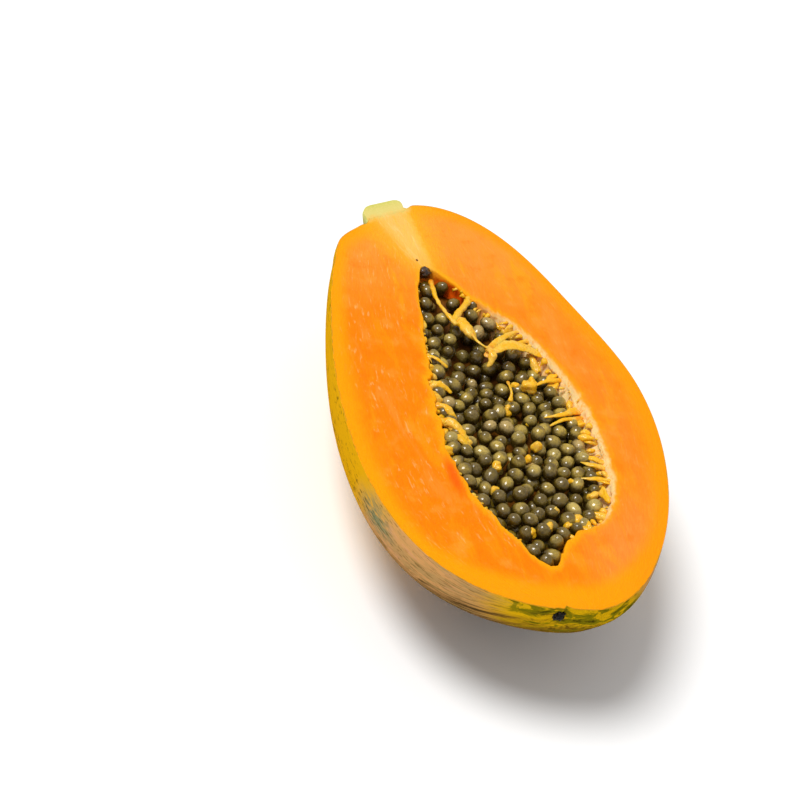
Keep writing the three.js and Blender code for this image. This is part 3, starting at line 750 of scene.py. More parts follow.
def wall_rings(face_rim, rim, smooth_rim, ray, bare, rounding, levels=50):
    """Rings of the cavity's wall from the rim down to its floor: a bowl whose depth is the sine of an
    angle and whose rim is drawn in by powers of its cosine. The torn rim mends within a few
    millimetres, the bare side swells inwards, and fibres and grain stand out of the wall."""
    share = np.linspace(0, 1, levels + 1)[1:, None] ** 1.5
    start = np.arcsin(rounding / CAVITY_DEPTH)
    sink = start[None] + (STEEPEST - start[None]) * share
    drawn = np.stack([np.cos(sink) ** CAVITY_POWER_ALONG, np.cos(sink) ** CAVITY_POWER_ACROSS], -1)
    height = -CAVITY_DEPTH * np.sin(sink)
    depth = -height - rounding[None]
    mended = smoothstep(depth, 0, 3.5)[..., None]
    upper = rim[None] * (1 - mended) + smooth_rim[None] * mended
    flat = CAVITY_CENTRE + (upper - CAVITY_CENTRE) * drawn
    wall = np.concatenate([flat, height[..., None]], -1)
    wall[..., 2] += face_rim[:, 2][None] + rounding[None]
    fibres = 1 - np.abs(lumps(wall * [1, 1, 0.4], 4.2, 77))
    grain = 0.55 * lumps(wall, 4.4, 5) + 0.3 * lumps(wall, 2.8, 6)
    shown = smoothstep(depth, 0, 1.2) * (1 - smoothstep(depth, 10, 15))
    swell = bare[None] * (1.4 * smoothstep(depth, 0, 5.5) + 0.8 * (fibres - 0.55) * shown)
    inwards = swell + (0.35 + 0.25 * bare[None]) * grain * shown
    wall[..., :2] -= ray[None] * inwards[..., None] * (1 - smoothstep(depth, 12, 18))[..., None]
    return wall


def flesh_rings(look, around=400):
    """Rings of the half fruit from its flat underside up the skin to the cut edge, in over the cut
    face to the rim, and down the cavity's wall."""
    smooth_rim, ray, edge_reach = rim_and_outline(spoke_shares(around))
    bare = bare_share(smooth_rim[:, 1])
    rim = ragged_rim(smooth_rim, ray, bare)
    rounding = look.rim_round / MM * (1 - bare) + look.bare_round / MM * bare
    skin = skin_rings(ray, edge_reach)
    face, face_ray = face_rings(skin[-1], rim, bare, rounding)
    return skin, face, wall_rings(face[-1], rim, smooth_rim, face_ray, bare, rounding)


def flesh_attributes(skin, face, wall):
    """Per-point values for the materials: distance from the skin and from the rim over the cut face,
    how bare the wall is, and the grain's own coordinates. On the skin and the face the grain follows
    the fruit's meridians, and on the wall it runs down from the rim."""
    def spread(values, rings):
        return np.broadcast_to(values, rings.shape[:2])

    edge, rim = skin[-1], face[-1]
    width = np.linalg.norm(edge - rim, axis=-1)
    bare = bare_share(rim[:, 1])
    zeros = np.zeros(skin.shape[:2])
    angle = egg_place(skin)[1]
    out, face_angle = egg_place(face)
    turn = np.arctan2(wall[..., 1] - CAVITY_CENTRE[1], wall[..., 0] - CAVITY_CENTRE[0])
    skin_grain = [skin[..., 0], GRAIN_RADIUS * np.cos(angle), GRAIN_RADIUS * np.sin(angle)]
    face_grain = [face[..., 0], GRAIN_RADIUS * out * np.cos(face_angle), face[..., 2]]
    wall_grain = [WALL_GRAIN_RADIUS * np.cos(turn), WALL_GRAIN_RADIUS * np.sin(turn),
                  width - wall[..., 2]]
    parts = {
        "from_skin": [zeros, np.linalg.norm(face - edge[None], axis=-1), spread(width, wall) + 10],
        "from_rim": [zeros + FAR, np.linalg.norm(face - rim[None], axis=-1), wall[..., 2]],
        "bare": [zeros, spread(bare, face), spread(bare, wall)],
        "grain": [np.stack(grain, -1) for grain in (skin_grain, face_grain, wall_grain)],
    }
    return {key: np.concatenate(values) for key, values in parts.items()}


def cut_colour(finish, look, place, x, y, from_skin, from_rim, bare, grain):
    """The colours of the cut flesh: orange turning to salmon on the right and paler towards the stem,
    soft lengthwise streaks of yellow and salmon, pale dashes that are partly fibres and partly
    painted glints, a yellow band under the skin, another beside the cavity, and the pale fan that
    spreads below the stub."""
    broad = finish.noise(place, 0.045, 3.0, 0.55)
    patch = finish.noise(place, 0.14, 4.0, 0.6)
    streak = finish.noise(finish.stretch(place, (0.035, 0.13, 0.13)), 1.0, 4.0, 0.62, 0.6)
    hair = finish.noise(finish.stretch(grain, (0.2, 0.85, 0.5)), 1.0, 3.0, 0.6, 0.4)
    stem_side = finish.rise(x + 30 * broad, 84.0, 24.0)
    middle = finish.rise(from_skin + 6 * patch, 8.0, 16.0)
    middle = middle * finish.rise(from_rim + 6 * patch, 6.0, 13.0)
    middle = middle * finish.rise(y, 6.0, 22.0) * finish.rise(x, 40.0, 90.0)
    blossom_right = finish.rise(x, 128.0, 160.0) * finish.rise(y + 12 * broad, 4.0, 20.0)
    # Pale dashes along the grain: partly fibres, partly painted glints of moisture, stronger on the
    # left.
    dashes = finish.rise(hair, 0.56, 0.72) * finish.rise(broad + 0.5 * patch, 0.66, 0.85)
    dashes = dashes * (0.3 + 0.7 * finish.rise(y, 2.0, -20.0))
    narrowing = 4.0 * finish.rise(x, 150.0, 172.0)
    band = finish.rise(from_skin + 5.0 * streak - 2.5 - narrowing, 8.5, 1.5)
    edge = finish.mix(finish.rise(y, 5.0, 25.0), look.edge, RIGHT_EDGE)
    rim_wave = from_rim + 3.0 * hair - 1.5
    pale_rim = finish.rise(rim_wave - 0.8 * bare, 1.4, 0.0) * bare * finish.rise(x, *CREAM_END)
    colour = finish.layers(
        finish.mix(finish.rise(y + 16 * broad, -2.0, 40.0), look.orange, look.salmon),
        (stem_side * 0.6, look.pale),
        (middle * 0.55, DEEP_SALMON),
        (blossom_right * 0.6, PINK_SALMON),
        (finish.rise(streak, 0.5, 0.66) * (0.35 + 0.4 * stem_side), YELLOW_STREAK),
        (finish.rise(streak, 0.47, 0.34) * (0.4 + 0.3 * stem_side), SALMON_STREAK),
        (finish.rise(patch, 0.52, 0.7) * 0.35, look.pale),
        (finish.rise(patch, 0.47, 0.3) * 0.45, DEEP_ORANGE),
        (dashes * 0.45, CREAM_DASH_AND_GLINT),
        (band * 0.95, edge),
        (finish.rise(rim_wave, 3.8, 0.8) * 0.85, RIM_YELLOW),
        (pale_rim * 0.75, RIM_CREAM),
        (finish.spot(place, *BLUSH_SPOT) * (0.4 + 0.6 * patch), look.blush),
    )
    return fan_colour(finish, look, colour, place, x, y)


def fan_colour(finish, look, colour, place, x, y):
    """The fan narrows from the stub's width to the cavity's tip. Its share falls with the distance
    from its middle line, divided by its width there, sharply on the right and softly on the left, and
    its veins run together towards the tip."""
    off = (y - (FAN_MIDDLE + x * FAN_TURN)) / (FAN_HALF_WIDTH - x * FAN_NARROWING)
    spokes = finish.node("ShaderNodeCombineXYZ", {}, {0: x * 0.05, 1: off * 1.6, 2: 0.0})
    veins = finish.noise(spokes, 1.0, 4.0, 0.7)
    mottle = finish.noise(place, 0.5, 4.0, 0.65)
    around = finish.rise(off + 2.0 * mottle, -2.2, 0.2) * finish.rise(off + 2.0 * mottle, 4.0, 1.8)
    right_side = finish.rise(off + 0.6 * mottle, 1.6, 0.9)
    left_side = finish.rise(off + 1.6 * veins + 0.5 * mottle, -0.7, 1.3)
    length = finish.rise(x + 14 * veins, 58.0, 14.0)
    share = right_side * left_side * length
    stalk = finish.rise(x + STALK_SLOPE * y + 5.0 * mottle, 6.5, 1.0) * finish.rise(y, -2.4, -4.6)
    return finish.layers(
        colour,
        (around * finish.rise(x + 20 * mottle, 62.0, 34.0) * 0.75, FAN_GLOW),
        (finish.rise(share, 0.05, 0.8) * 0.95, look.fan),
        (finish.rise(veins, 0.52, 0.64) * share * 0.55, FAN_CREAM),
        (finish.rise(veins, 0.46, 0.38) * share * 0.5, FAN_VEIN),
        (finish.rise(off, 0.45, 0.95) * right_side * length * 0.6, FAN_SIDE),
        (stalk, STALK_FLESH),
    )


def flesh_material(look):
    """The cut face ends in a thin line of rind. Below the rim the wall turns from orange to rust,
    with cream fibres where it is bare and a red pocket at the stem side, and all of it is moist."""
    finish = Finish("papaya_flesh")
    place = finish.fruit_place()
    x, y, z = finish.axes(place)
    from_skin, from_rim = finish.attribute("from_skin"), finish.attribute("from_rim")
    grain, bare = finish.attribute("grain", "Vector"), finish.attribute("bare")
    face = cut_colour(finish, look, place, x, y, from_skin, from_rim, bare, grain)
    line = finish.rise(from_skin, 0.5, 0.25) * finish.rise(finish.noise(place, 0.3), 0.35, 0.6)
    face = finish.mix(line * 0.8, face, look.rind)

    fibre = finish.noise(finish.stretch(grain, (0.7, 0.7, 0.25)), 1.0, 4.0, 0.65)
    cream = bare * finish.rise(fibre, 0.32, 0.5) * finish.rise(z, -9.5, -5.5)
    cream = cream * finish.rise(x, *CREAM_END)
    wall = finish.layers(
        finish.mix(finish.rise(z, -4.0, -12.0) * 0.85, look.wall, look.rust),
        (bare * finish.rise(z, -11.0, -6.0) * 0.6, WALL_PEACH),
        (cream * 0.9, look.cream),
        (finish.spot(place, *POCKET_SPOT), POCKET_RED),
    )
    colour = finish.mix(finish.rise(z + 0.6 * fibre, 0.0, -1.1), face, wall)
    colour = finish.mix(finish.spot(place, *DOT_SPOT) * 0.9, colour, DOT_BROWN)

    wet = finish.noise(place, 0.35, 3.0)
    fine = finish.noise(finish.stretch(grain, (0.22, 0.8, 0.5)), 1.0, 4.0, 0.6, 0.5)
    bump = finish.relief(fine, 0.5, 0.5)
    bump = finish.relief(finish.noise(place, 1.4, 3.0, 0.6), 0.15, 0.6, bump)
    return finish.surface(Base_Color=colour, Roughness=0.35 + 0.2 * wet, Normal=bump,
                          Specular_IOR_Level=0.05, Subsurface_Weight=0.15, Subsurface_Scale=0.004,
                          Subsurface_Radius=(1.0, 0.4, 0.12))


def skin_material(look):
    """Ripe yellow at the stem side, dull tan over the belly and yellow round the blossom end, with
    olive and grey streaks, short dark dashes along the fruit, and specks. Streaks follow the fruit's
    meridians, and near both ends, where these meet, they are mottled instead. The lower side darkens
    towards the blossom end, which is painted shade."""
    finish = Finish("papaya_skin")
    place = finish.fruit_place()
    x, y, z = finish.axes(place)
    grain = finish.attribute("grain", "Vector")
    broad = finish.noise(place, 0.03, 3.0)
    clouds = finish.noise(finish.stretch(grain, (0.03, 0.09, 0.09)), 1.0, 4.0, 0.6)
    along = finish.noise(finish.stretch(grain, (0.1, 0.36, 0.36)), 1.0, 5.0, 0.68, 0.8)
    dash = finish.noise(finish.stretch(grain, (0.34, 1.3, 1.3)), 1.0, 2.0, 0.5)
    mottled = finish.noise(finish.stretch(place, (0.16, 0.13, 0.3)), 1.0, 5.0, 0.65, 0.8)

    belly = finish.rise(x + 40 * broad - 0.6 * z, 148.0, 170.0)
    tan = belly * finish.rise(x + 14 * along, 184.0, 174.0)
    blossom = finish.rise(x + 8 * clouds, 174.0, 181.0)
    stem = finish.rise(x, 34.0, 4.0)
    ends = 1 - (1 - stem) * (1 - blossom)
    streak = along * (1 - ends) + mottled * ends
    green = finish.rise(streak + 0.05 * ends + 0.35 * (clouds - 0.5), 0.52, 0.62)
    right = finish.rise(y, 2.0, 18.0) * blossom
    teal = finish.spot(place, *TEAL_SPOT) * finish.rise(dash + 0.4 * clouds, 0.5, 0.75)
    # Painted shade: the lower side darkens towards the blossom end, its edge broken up by the streaks
    # and clouds.
    low = finish.rise(z - 0.16 * x + 12 * streak + 16 * clouds, -19.5, -27.0)
    low = low * finish.rise(x, 112.0, 146.0)
    marks = finish.rise(dash, 0.56, 0.62) * finish.rise(clouds, 0.34, 0.52)
    colour = finish.layers(
        finish.mix(tan, look.skin_yellow, look.skin_tan),
        (finish.rise(clouds, 0.48, 0.62) * 0.5 * (1 - tan), SKIN_GOLD),
        (finish.rise(along, 0.49, 0.37) * tan * 0.45, SKIN_OLIVE),
        (finish.rise(clouds, 0.47, 0.56) * tan * 0.4, SKIN_GREY),
        (finish.rise(along, 0.54, 0.64) * tan * 0.6, SKIN_PINK),
        (blossom * 0.8, BLOSSOM_YELLOW),
        (green * (0.15 + 0.7 * ends), look.skin_green),
        (right * finish.rise(streak, 0.44, 0.54) * 0.8, BLOSSOM_GREEN),
        (teal * 0.85, look.skin_teal),
        (low * 0.75, LOW_SIDE_PAINTED_SHADE),
        (low * finish.rise(streak, 0.5, 0.4) * 0.7, LOW_SIDE_DARK_PAINTED_SHADE),
        (marks * (0.8 - 0.3 * tan), look.skin_brown),
        (finish.rise(streak, 0.6, 0.68) * blossom * 0.85, BLOSSOM_DARK),
    )

    bump = finish.relief(streak, 0.25, 0.5)
    bump = finish.relief(finish.noise(place, 0.9, 4.0), 0.15, 0.5, bump)
    return finish.surface(Base_Color=colour, Roughness=0.4 + 0.2 * clouds, Normal=bump,
                          Specular_IOR_Level=0.0)


def bed_height(x, y, distance):
    """The height of the bed on which the seeds' centres lie: it sinks from the rim to the middle, is
    lower on the bare right side and shallower at the blossom side, and has a pit."""
    bare = bare_share(y)
    dip = BED_DIP * (1 - BED_FILL["share"] * smoothstep(x, BED_FILL["start"], BED_FILL["end"]))
    sink = dip * (1 - bare) * smoothstep(distance, 0, BED_SLOPE_WIDTH)
    return -BED_BELOW_FACE - BARE_WALL["drop"] * bare - sink - bell(BED_PIT, x, y)


def nearest_rim(places):
    """The rim's nearest sample to each place, how far it is, and whether the place is inside."""
    rim = catmull_rom(CAVITY_RIM, np.arange(RIM_SAMPLES) / RIM_SAMPLES, closed=True)
    apart = np.linalg.norm(places[:, None] - rim[None], axis=2)
    near = rim[apart.argmin(1)]
    after = np.roll(rim, -1, axis=0)
    x, y = places[:, :1], places[:, 1:]
    crossed = (rim[:, 1] > y) != (after[:, 1] > y)
    with np.errstate(divide="ignore", invalid="ignore"):
        meets = rim[:, 0] + (after[:, 0] - rim[:, 0]) * (y - rim[:, 1]) / (after[:, 1] - rim[:, 1])
    inside = (crossed & (x < meets)).sum(1) % 2 == 1
    return near, apart.min(1), inside


def strewn_places(draw, radius):
    """Seeds in staggered rows across the cavity, each moved at random, with its size, turn, tilt and
    lift."""
    row_step = SEED_SPACING * math.sqrt(0.75)
    rows = math.ceil((SEED_ROWS["last"] - SEED_ROWS["first"]) / row_step)
    columns = np.arange(-SEED_ROWS["each_side"], SEED_ROWS["each_side"] + 1)
    row, column = (grid.ravel() for grid in np.meshgrid(np.arange(rows), columns, indexing="ij"))
    dx, dy, dz, size, turn, tilt = draws(draw, len(row), 6).T
    x = SEED_ROWS["first"] + row * row_step + (2 * dx - 1) * SEED_JITTER
    y = (column + (row % 2) / 2) * SEED_SPACING + (2 * dy - 1) * SEED_JITTER
    radii = radius * (1 + SEED_SIZE_SPREAD * (size - 0.5))
    lift = (dz - 0.5) * SEED_HEIGHT_SPREAD
    inside = nearest_rim(np.column_stack([x, y]))[2]
    return tuple(values[inside] for values in (x, y, radii, turn, tilt, lift))


def settled(x, y, radii):
    """Rounds of settling: each seed moves by half of what it lacks to each near neighbour, and then
    off the wall as far as it lacks there."""
    places = np.column_stack([x, y])
    for _ in range(SEED_ROUNDS):
        apart = places[:, None] - places[None]
        distance = np.linalg.norm(apart, axis=2) + np.eye(len(places)) * 1e3
        push = np.clip(SEED_CLOSEST - distance, 0, None) / 2
        moved = places + (apart / distance[..., None] * push[..., None]).sum(1)
        near, off, inside = nearest_rim(moved)
        inwards = (moved - near) / np.maximum(off, 1e-9)[:, None] * np.where(inside, 1, -1)[:, None]
        margin = radii + WALL_GAP + BARE_WALL["margin"] * bare_share(moved[:, 1])
        stays = inside & (off >= margin)
        places = np.where(stays[:, None], moved, near + inwards * margin[:, None])
    return places


def seed_shells(centres, radii, turns, tilts, broken, around=12, levels=7):
    """Short eggs: a circle carried from tip to tip, with its radius a sine and one end blunter, then
    tilted, turned and moved. A broken one has deep relief. Gives rings and poles, how near each point
    is to a tip, and how far up it is in radii."""
    rise = np.linspace(0, np.pi, levels + 2)[1:-1]
    angle = 2 * np.pi * np.arange(around) / around
    width = (np.sin(rise) * (1 + 0.1 * np.cos(rise)))[:, None]
    ring = np.stack([np.cos(angle)[None] * width * SEED_WIDTH_SHARE,
                     np.broadcast_to(-np.cos(rise)[:, None] * SEED_LENGTH_SHARE, (levels, around)),
                     np.sin(angle)[None] * width * SEED_WIDTH_SHARE], -1)
    ends = np.array([[0, -SEED_LENGTH_SHARE, 0], [0, SEED_LENGTH_SHARE, 0]])
    tilt, turn = (tilts - 0.5) * np.pi, turns * 2 * np.pi
    zero, one = np.zeros(len(tilts)), np.ones(len(tilts))
    tip = np.stack([one, zero, zero,
                    zero, np.cos(tilt), -np.sin(tilt),
                    zero, np.sin(tilt), np.cos(tilt)], -1)
    spin = np.stack([np.cos(turn), -np.sin(turn), zero,
                     np.sin(turn), np.cos(turn), zero,
                     zero, zero, one], -1)
    pose = spin.reshape(-1, 3, 3) @ tip.reshape(-1, 3, 3)
    shell = np.einsum("nij,lkj->nlki", pose, ring) * radii[:, None, None, None]
    relief = 0.07 * lumps(shell + 9 * centres[:, None, None], 6, 91)
    relief += broken[:, None, None] * 0.3 * lumps(shell, 2, 92)
    shell = shell * (1 + relief)[..., None] + centres[:, None, None]
    poles = np.einsum("nij,kj->nki", pose, ends) * radii[:, None, None] + centres[:, None]
    along = np.broadcast_to(np.abs(np.cos(rise))[None, :, None], (len(radii), levels, around))
    up = (shell[..., 2] - centres[:, 2, None, None]) / radii[:, None, None]
    pole_up = (poles[..., 2] - centres[:, 2, None]) / radii[:, None]
    return shell, poles, along, np.concatenate([up.ravel(), pole_up[:, 0], pole_up[:, 1]])


def core_shell(around=96, levels=26):
    """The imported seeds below: a lens between a lumpy copy of the bed and a deeper one, both read on
    rays from the cavity's centre and drawn in from the rim."""
    rim = catmull_rom(CAVITY_RIM, np.arange(around) / around, closed=True)
    out = np.linspace(0.04, 0.97, levels)
    places = CAVITY_CENTRE + (rim - CAVITY_CENTRE)[None] * out[:, None, None]
    flat = places.reshape(-1, 2)
    height = bed_height(flat[:, 0], flat[:, 1], nearest_rim(flat)[1]).reshape(levels, around)
    top = height - 3.4 + 0.5 * lumps(np.dstack([places, height]), 6, 9)
    bottom = height - 3.9 - 2.2 * (1 - out[:, None] ** 4)
    upper = np.concatenate([places, top[..., None]], -1)
    lower = np.concatenate([places, bottom[..., None]], -1)[::-1]
    rings = np.concatenate([upper, lower])[None]
    return rings, upper[0].mean(0)[None], lower[-1].mean(0)[None]


def seed_parts(look):
    """All seeds: the stem side's own, the broken one at the cavity's tip, the top layer where these
    leave it free, and a second layer below. Gives centres, radii, turns, tilts and tones, and the
    broken seed's tone is below 0."""
    radius = look.radius / MM
    size, turn, tilt = draws(SEED_DRAW + 1, len(STEM_SEEDS), 3).T
    own = STEM_SEEDS.copy()
    floor = bed_height(own[:, 0], own[:, 1], nearest_rim(own[:, :2])[1])
    own[:, 2] = np.minimum(own[:, 2], floor + SEED_RISE_MOST)
    layers = [(own, radius * (0.85 + SEED_SIZE_SPREAD * size), turn, tilt),
              tuple(np.array([BROKEN_SEED[key]]) for key in ("centre", "radius", "turn", "tilt"))]
    for draw, drop in ((SEED_DRAW, 0.0), (SECOND_LAYER["draw"], SECOND_LAYER["drop"])):
        x, y, radii, turn, tilt, lift = strewn_places(draw, radius)
        places = settled(x, y, radii)
        bed = bed_height(places[:, 0], places[:, 1], nearest_rim(places)[1])
        z = np.minimum(bed + lift - drop, -radii + 0.6)
        apart = np.linalg.norm(places[:, None] - own[None, :, :2], axis=2).min(1)
        pocket = (places[:, 0] < STEM_POCKET["x"]) & (places[:, 1] > STEM_POCKET["y"])
        free = (places[:, 0] > own[:, 0].max()) | (apart > SEED_CLOSEST) | ((drop > 0) & ~pocket)
        centres = np.column_stack([places, z])
        layers.append(tuple(part[free] for part in (centres, radii, turn, tilt)))
    parts = [np.concatenate(part) for part in zip(*layers)]
    tone = draws(TONE_DRAW, len(parts[1]), 1)[:, 0]
    tone[len(own)] = -1
    return [*parts, tone]


def seed_material(look):
    """Olive in the middle and brown at the tips, with sandy patches, a few seeds light and fewer
    straw, and fine wrinkles. Painted shade darkens each seed's underside and the seeds deeper in
    the cavity. The broken seed is almost black."""
    finish = Finish("papaya_seeds")
    place = finish.fruit_place()
    x, _, z = finish.axes(place)
    tone, tip, up = finish.attribute("tone"), finish.attribute("tip"), finish.attribute("up")
    mottle = finish.noise(place, 0.7, 3.0, 0.6)
    wrinkles = finish.noise(place, 1.7, 3.0, 0.6)
    dark_ends = 1 - finish.rise(x, 66.0, 84.0) * finish.rise(x, 138.0, 118.0)
    broken = finish.mix(finish.rise(wrinkles, 0.45, 0.6), BROKEN_DARK, BROKEN_BROWN)
    colour = finish.layers(
        finish.mix(finish.rise(tip + 0.5 * mottle, 0.55, 1.2), look.olive, look.brown),
        (finish.rise(tone - 0.45 * dark_ends, 0.5, -0.1) * 0.8, look.brown),
        (finish.rise(mottle, 0.5, 0.7) * 0.3, SEED_SAND),
        (finish.rise(tone, 0.72, 0.95) * 0.55, SEED_LIGHT),
        (finish.rise(tone, 0.97, 0.98), look.straw),
        (finish.rise(wrinkles, 0.5, 0.34) * 0.45, SEED_WRINKLE),
        # Painted shade: each seed is darker on its underside, by its height in radii.
        (finish.rise(up + 0.5 * mottle, 1.15, 0.35) * 0.94, SEED_UNDERSIDE_PAINTED_SHADE),
        # Painted shade: seeds deeper in the cavity are darker.
        (finish.rise(z, -6.5, -11.5) * 0.3, DEEP_SEED_PAINTED_SHADE),
        (finish.rise(tone, -0.2, -0.6), broken),
    )
    bump = finish.relief(finish.noise(place, 0.7, 4.0, 0.6), 1.2, 0.7)
    return finish.surface(Base_Color=colour, Roughness=0.3 + 0.2 * mottle, Normal=bump,
                          Specular_IOR_Level=0.15, Coat_Weight=1.0, Coat_Roughness=0.17, Coat_IOR=1.6)


def core_material(look):
    """Brown lumps, darker with depth."""
    finish = Finish("papaya_seed_core")
    place = finish.fruit_place()
    z = finish.axes(place)[2]
    lighter = finish.rise(finish.noise(place, 0.25, 3.0), 0.4, 0.7)
    colour = finish.mix(lighter, look.core, CORE_LIGHT)
    colour = finish.mix(finish.rise(z, -7.0, -11.0) * 0.5, colour, CORE_DARK)
    bump = finish.relief(finish.noise(place, 0.5, 3.0), 0.8, 0.6)
    return finish.surface(Base_Color=colour, Roughness=0.5, Normal=bump, Specular_IOR_Level=0.05)


def tubes(paths, radii, flatness=1.0, around=7, steps=9, knobs=0.3):
    """Tubes along smooth paths, with a radius for every point of the path. Each ring is an ellipse
    square to the path, flattened in height and swollen by smooth relief, and the ends run to a
    point."""
    share = np.linspace(0, 1, steps)
    line = np.stack([catmull_rom(path, share) for path in paths])
    width = np.stack([catmull_rom(radius, share) for radius in radii])
    side, up = turned(np.gradient(line, axis=1))
    angle = (2 * np.pi * np.arange(around) / around)[:, None]
    ring = np.cos(angle) * side[:, :, None] + flatness * np.sin(angle) * up[:, :, None]
    even = line[:, :, None] + ring * width[:, :, None, None]
    swell = 1 + knobs * (lumps(even, 2.6, 23) + 0.4 * lumps(even, 1.3, 24))
    rings = line[:, :, None] + ring * (width[:, :, None] * swell)[..., None]
    outwards = np.stack([line[:, 0] - line[:, 1], line[:, -1] - line[:, -2]], 1)
    outwards /= np.linalg.norm(outwards, axis=-1, keepdims=True)
    ends = line[:, [0, -1]] + 0.6 * width[:, [0, -1], None] * outwards
    along = np.broadcast_to(share[None, :, None], rings.shape[:-1])
    return rings, ends[:, 0], ends[:, 1], along


def wall_spikes(count):
    """Spikes that stand out of the cavity's wall just below the rim, longer on the bare side and in
    clusters: a root in the wall, a bend, a tip over the seeds, and a radius that tapers."""
    shift, length, sway, lift, thick, bend = draws(SPIKES["draw"], count, 6).T
    share = (np.arange(count) + shift) / count
    rim = catmull_rom(CAVITY_RIM, share, closed=True)
    ahead = catmull_rom(CAVITY_RIM, share + 0.002, closed=True) - rim
    tangent = ahead / np.linalg.norm(ahead, axis=1, keepdims=True)
    inwards = np.column_stack([tangent[:, 1], -tangent[:, 0]])
    bare = bare_share(rim[:, 1])
    narrow = smoothstep(np.abs(rim[:, 0] - SPIKES["middle"]), SPIKES["gone"], SPIKES["full"])
    cluster = smoothstep(lumps(np.column_stack([rim, np.zeros(count)]), 17, 61), -0.5, 0.7)
    longest = 0.6 + (2.2 + 2.6 * bare) * length**1.6
    reach_in = longest * (0.35 + 0.65 * cluster) * (0.1 + 0.9 * narrow)
    depth = 0.9 + 1.6 * lift + bare * (0.9 + 2.4 * lift)
    steps = np.array([-1.2, 0.25, 0.6, 1.0])
    inward = np.where(steps < 0, steps, steps * reach_in[:, None])
    aside = (sway - 0.5)[:, None] * reach_in[:, None] * 1.4 * np.clip(steps, 0, 1) ** 2
    places = rim[:, None] + inwards[:, None] * inward[..., None] + tangent[:, None] * aside[..., None]
    hump = np.array([0, 0.35, 0.35, -0.4])
    z = -depth[:, None] + hump[None] * (0.3 + 1.4 * bend[:, None])
    paths = np.concatenate([places, np.minimum(z, -0.5)[..., None]], -1)
    size = (0.35 + 0.85 * thick) * (0.5 + 0.5 * cluster) * narrow
    radii = size[:, None] * np.array([1.3, 1.0, 0.75, 0.22])
    return paths, radii


def rim_tufts(count=100):
    """Lumps of torn flesh on the cavity's wall between the seeds: on the left just below the rim, and
    deeper on the bare right side. Gives places, sizes and the ways that they point."""
    shift, inward, depth, size = draws(WALL_TUFTS["draw"], count, 4).T
    share = (np.arange(count) + shift) / count
    rim = catmull_rom(CAVITY_RIM, share, closed=True)
    inwards = CAVITY_CENTRE - rim
    inwards /= np.linalg.norm(inwards, axis=1, keepdims=True)
    aside = np.column_stack([-inwards[:, 1], inwards[:, 0]]) * (2.4 * (depth - 0.5))[:, None]
    bare = bare_share(rim[:, 1])
    off = np.abs(rim[:, 0] - WALL_TUFTS["middle"])
    inside = smoothstep(off, WALL_TUFTS["gone"], WALL_TUFTS["full"])
    places = rim + inwards * (0.2 + 0.9 * inward + bare * (0.9 + 1.4 * inward))[:, None]
    z = -0.9 - 1.3 * depth - bare * (0.9 + 2.0 * depth)
    sizes = (0.5 + 0.9 * size**1.5) * inside
    ways = np.column_stack([inwards + aside, np.full(count, -0.2)])
    return np.column_stack([places, z]), sizes, ways


def tuft_shells(around=18, levels=12):
    """Soft lumps: spheres whose radius is raised and lowered by smooth relief. Those at the wall are
    drawn out away from it, and the smallest are left out."""
    unit = unit_sphere(around, levels)
    near = nearest_rim(TUFTS[:, :2])[1]
    z = bed_height(TUFTS[:, 0], TUFTS[:, 1], near) + TUFTS[:, 2]
    wall_tufts = rim_tufts()
    at_wall, wall_size, wall_way = (part[wall_tufts[1] > 0.2] for part in wall_tufts)
    centres = np.concatenate([np.column_stack([TUFTS[:, :2], z]), at_wall])
    size = np.concatenate([TUFTS[:, 3], wall_size])
    way = np.concatenate([np.zeros((len(TUFTS), 3)), wall_way])
    even = centres[:, None, None] + unit * size[:, None, None, None]
    swell = 1 + 0.35 * lumps(even, 3.6, 21) + 0.2 * lumps(even, 1.7, 22)
    offset = unit * (size[:, None, None] * swell)[..., None]
    offset += 0.8 * (offset @ way[:, None, :, None]) * way[:, None, None]
    shell = centres[:, None, None] + offset
    shell[..., 2] = np.minimum(shell[..., 2], -0.15)
    poles = shell[:, [0, -1]].mean(2)
    return shell, poles[:, 0], poles[:, 1], np.full(shell.shape[:-1], 0.6)


def gather(parts):
    """Several groups of shells as one set of points and faces, with one value for each point."""
    points, faces, values, base = [], [], [], 0
    for rings, first, last, along in parts:
        some, some_faces = shells(rings, first, last)
        points.append(some)
        faces += [part + base for part in some_faces]
        values.append(np.concatenate([along.ravel(), along[:, 0, 0], along[:, -1, 0]]))
        base += len(some)
    return np.concatenate(points), faces, np.concatenate(values)


def placenta_material(look):
    """Amber with orange roots, dry cream patches and fine darker grains, moist and a little clear."""
    finish = Finish("papaya_strands")
    place = finish.fruit_place()
    along = finish.attribute("along")
    patch = finish.noise(place, 0.32, 3.0)
    fine = finish.noise(place, 1.1, 3.0)
    colour = finish.layers(
        finish.mix(finish.rise(along + 0.5 * fine, 0.6, 0.1), look.amber, look.orange),
        (finish.rise(patch + 0.25 * fine, 0.56, 0.76) * 0.5, look.cream),
        (finish.rise(finish.noise(place, 2.2, 3.0), 0.5, 0.32) * 0.4, STRAND_GRAIN),
    )
    bump = finish.relief(fine, 0.6, 0.6)
    return finish.surface(Base_Color=colour, Roughness=0.35 + 0.2 * fine, Normal=bump,
                          Specular_IOR_Level=0.25, Coat_Weight=0.3, Coat_Roughness=0.12,
                          Subsurface_Weight=0.25, Subsurface_Scale=0.002,
                          Subsurface_Radius=(1.0, 0.5, 0.15))


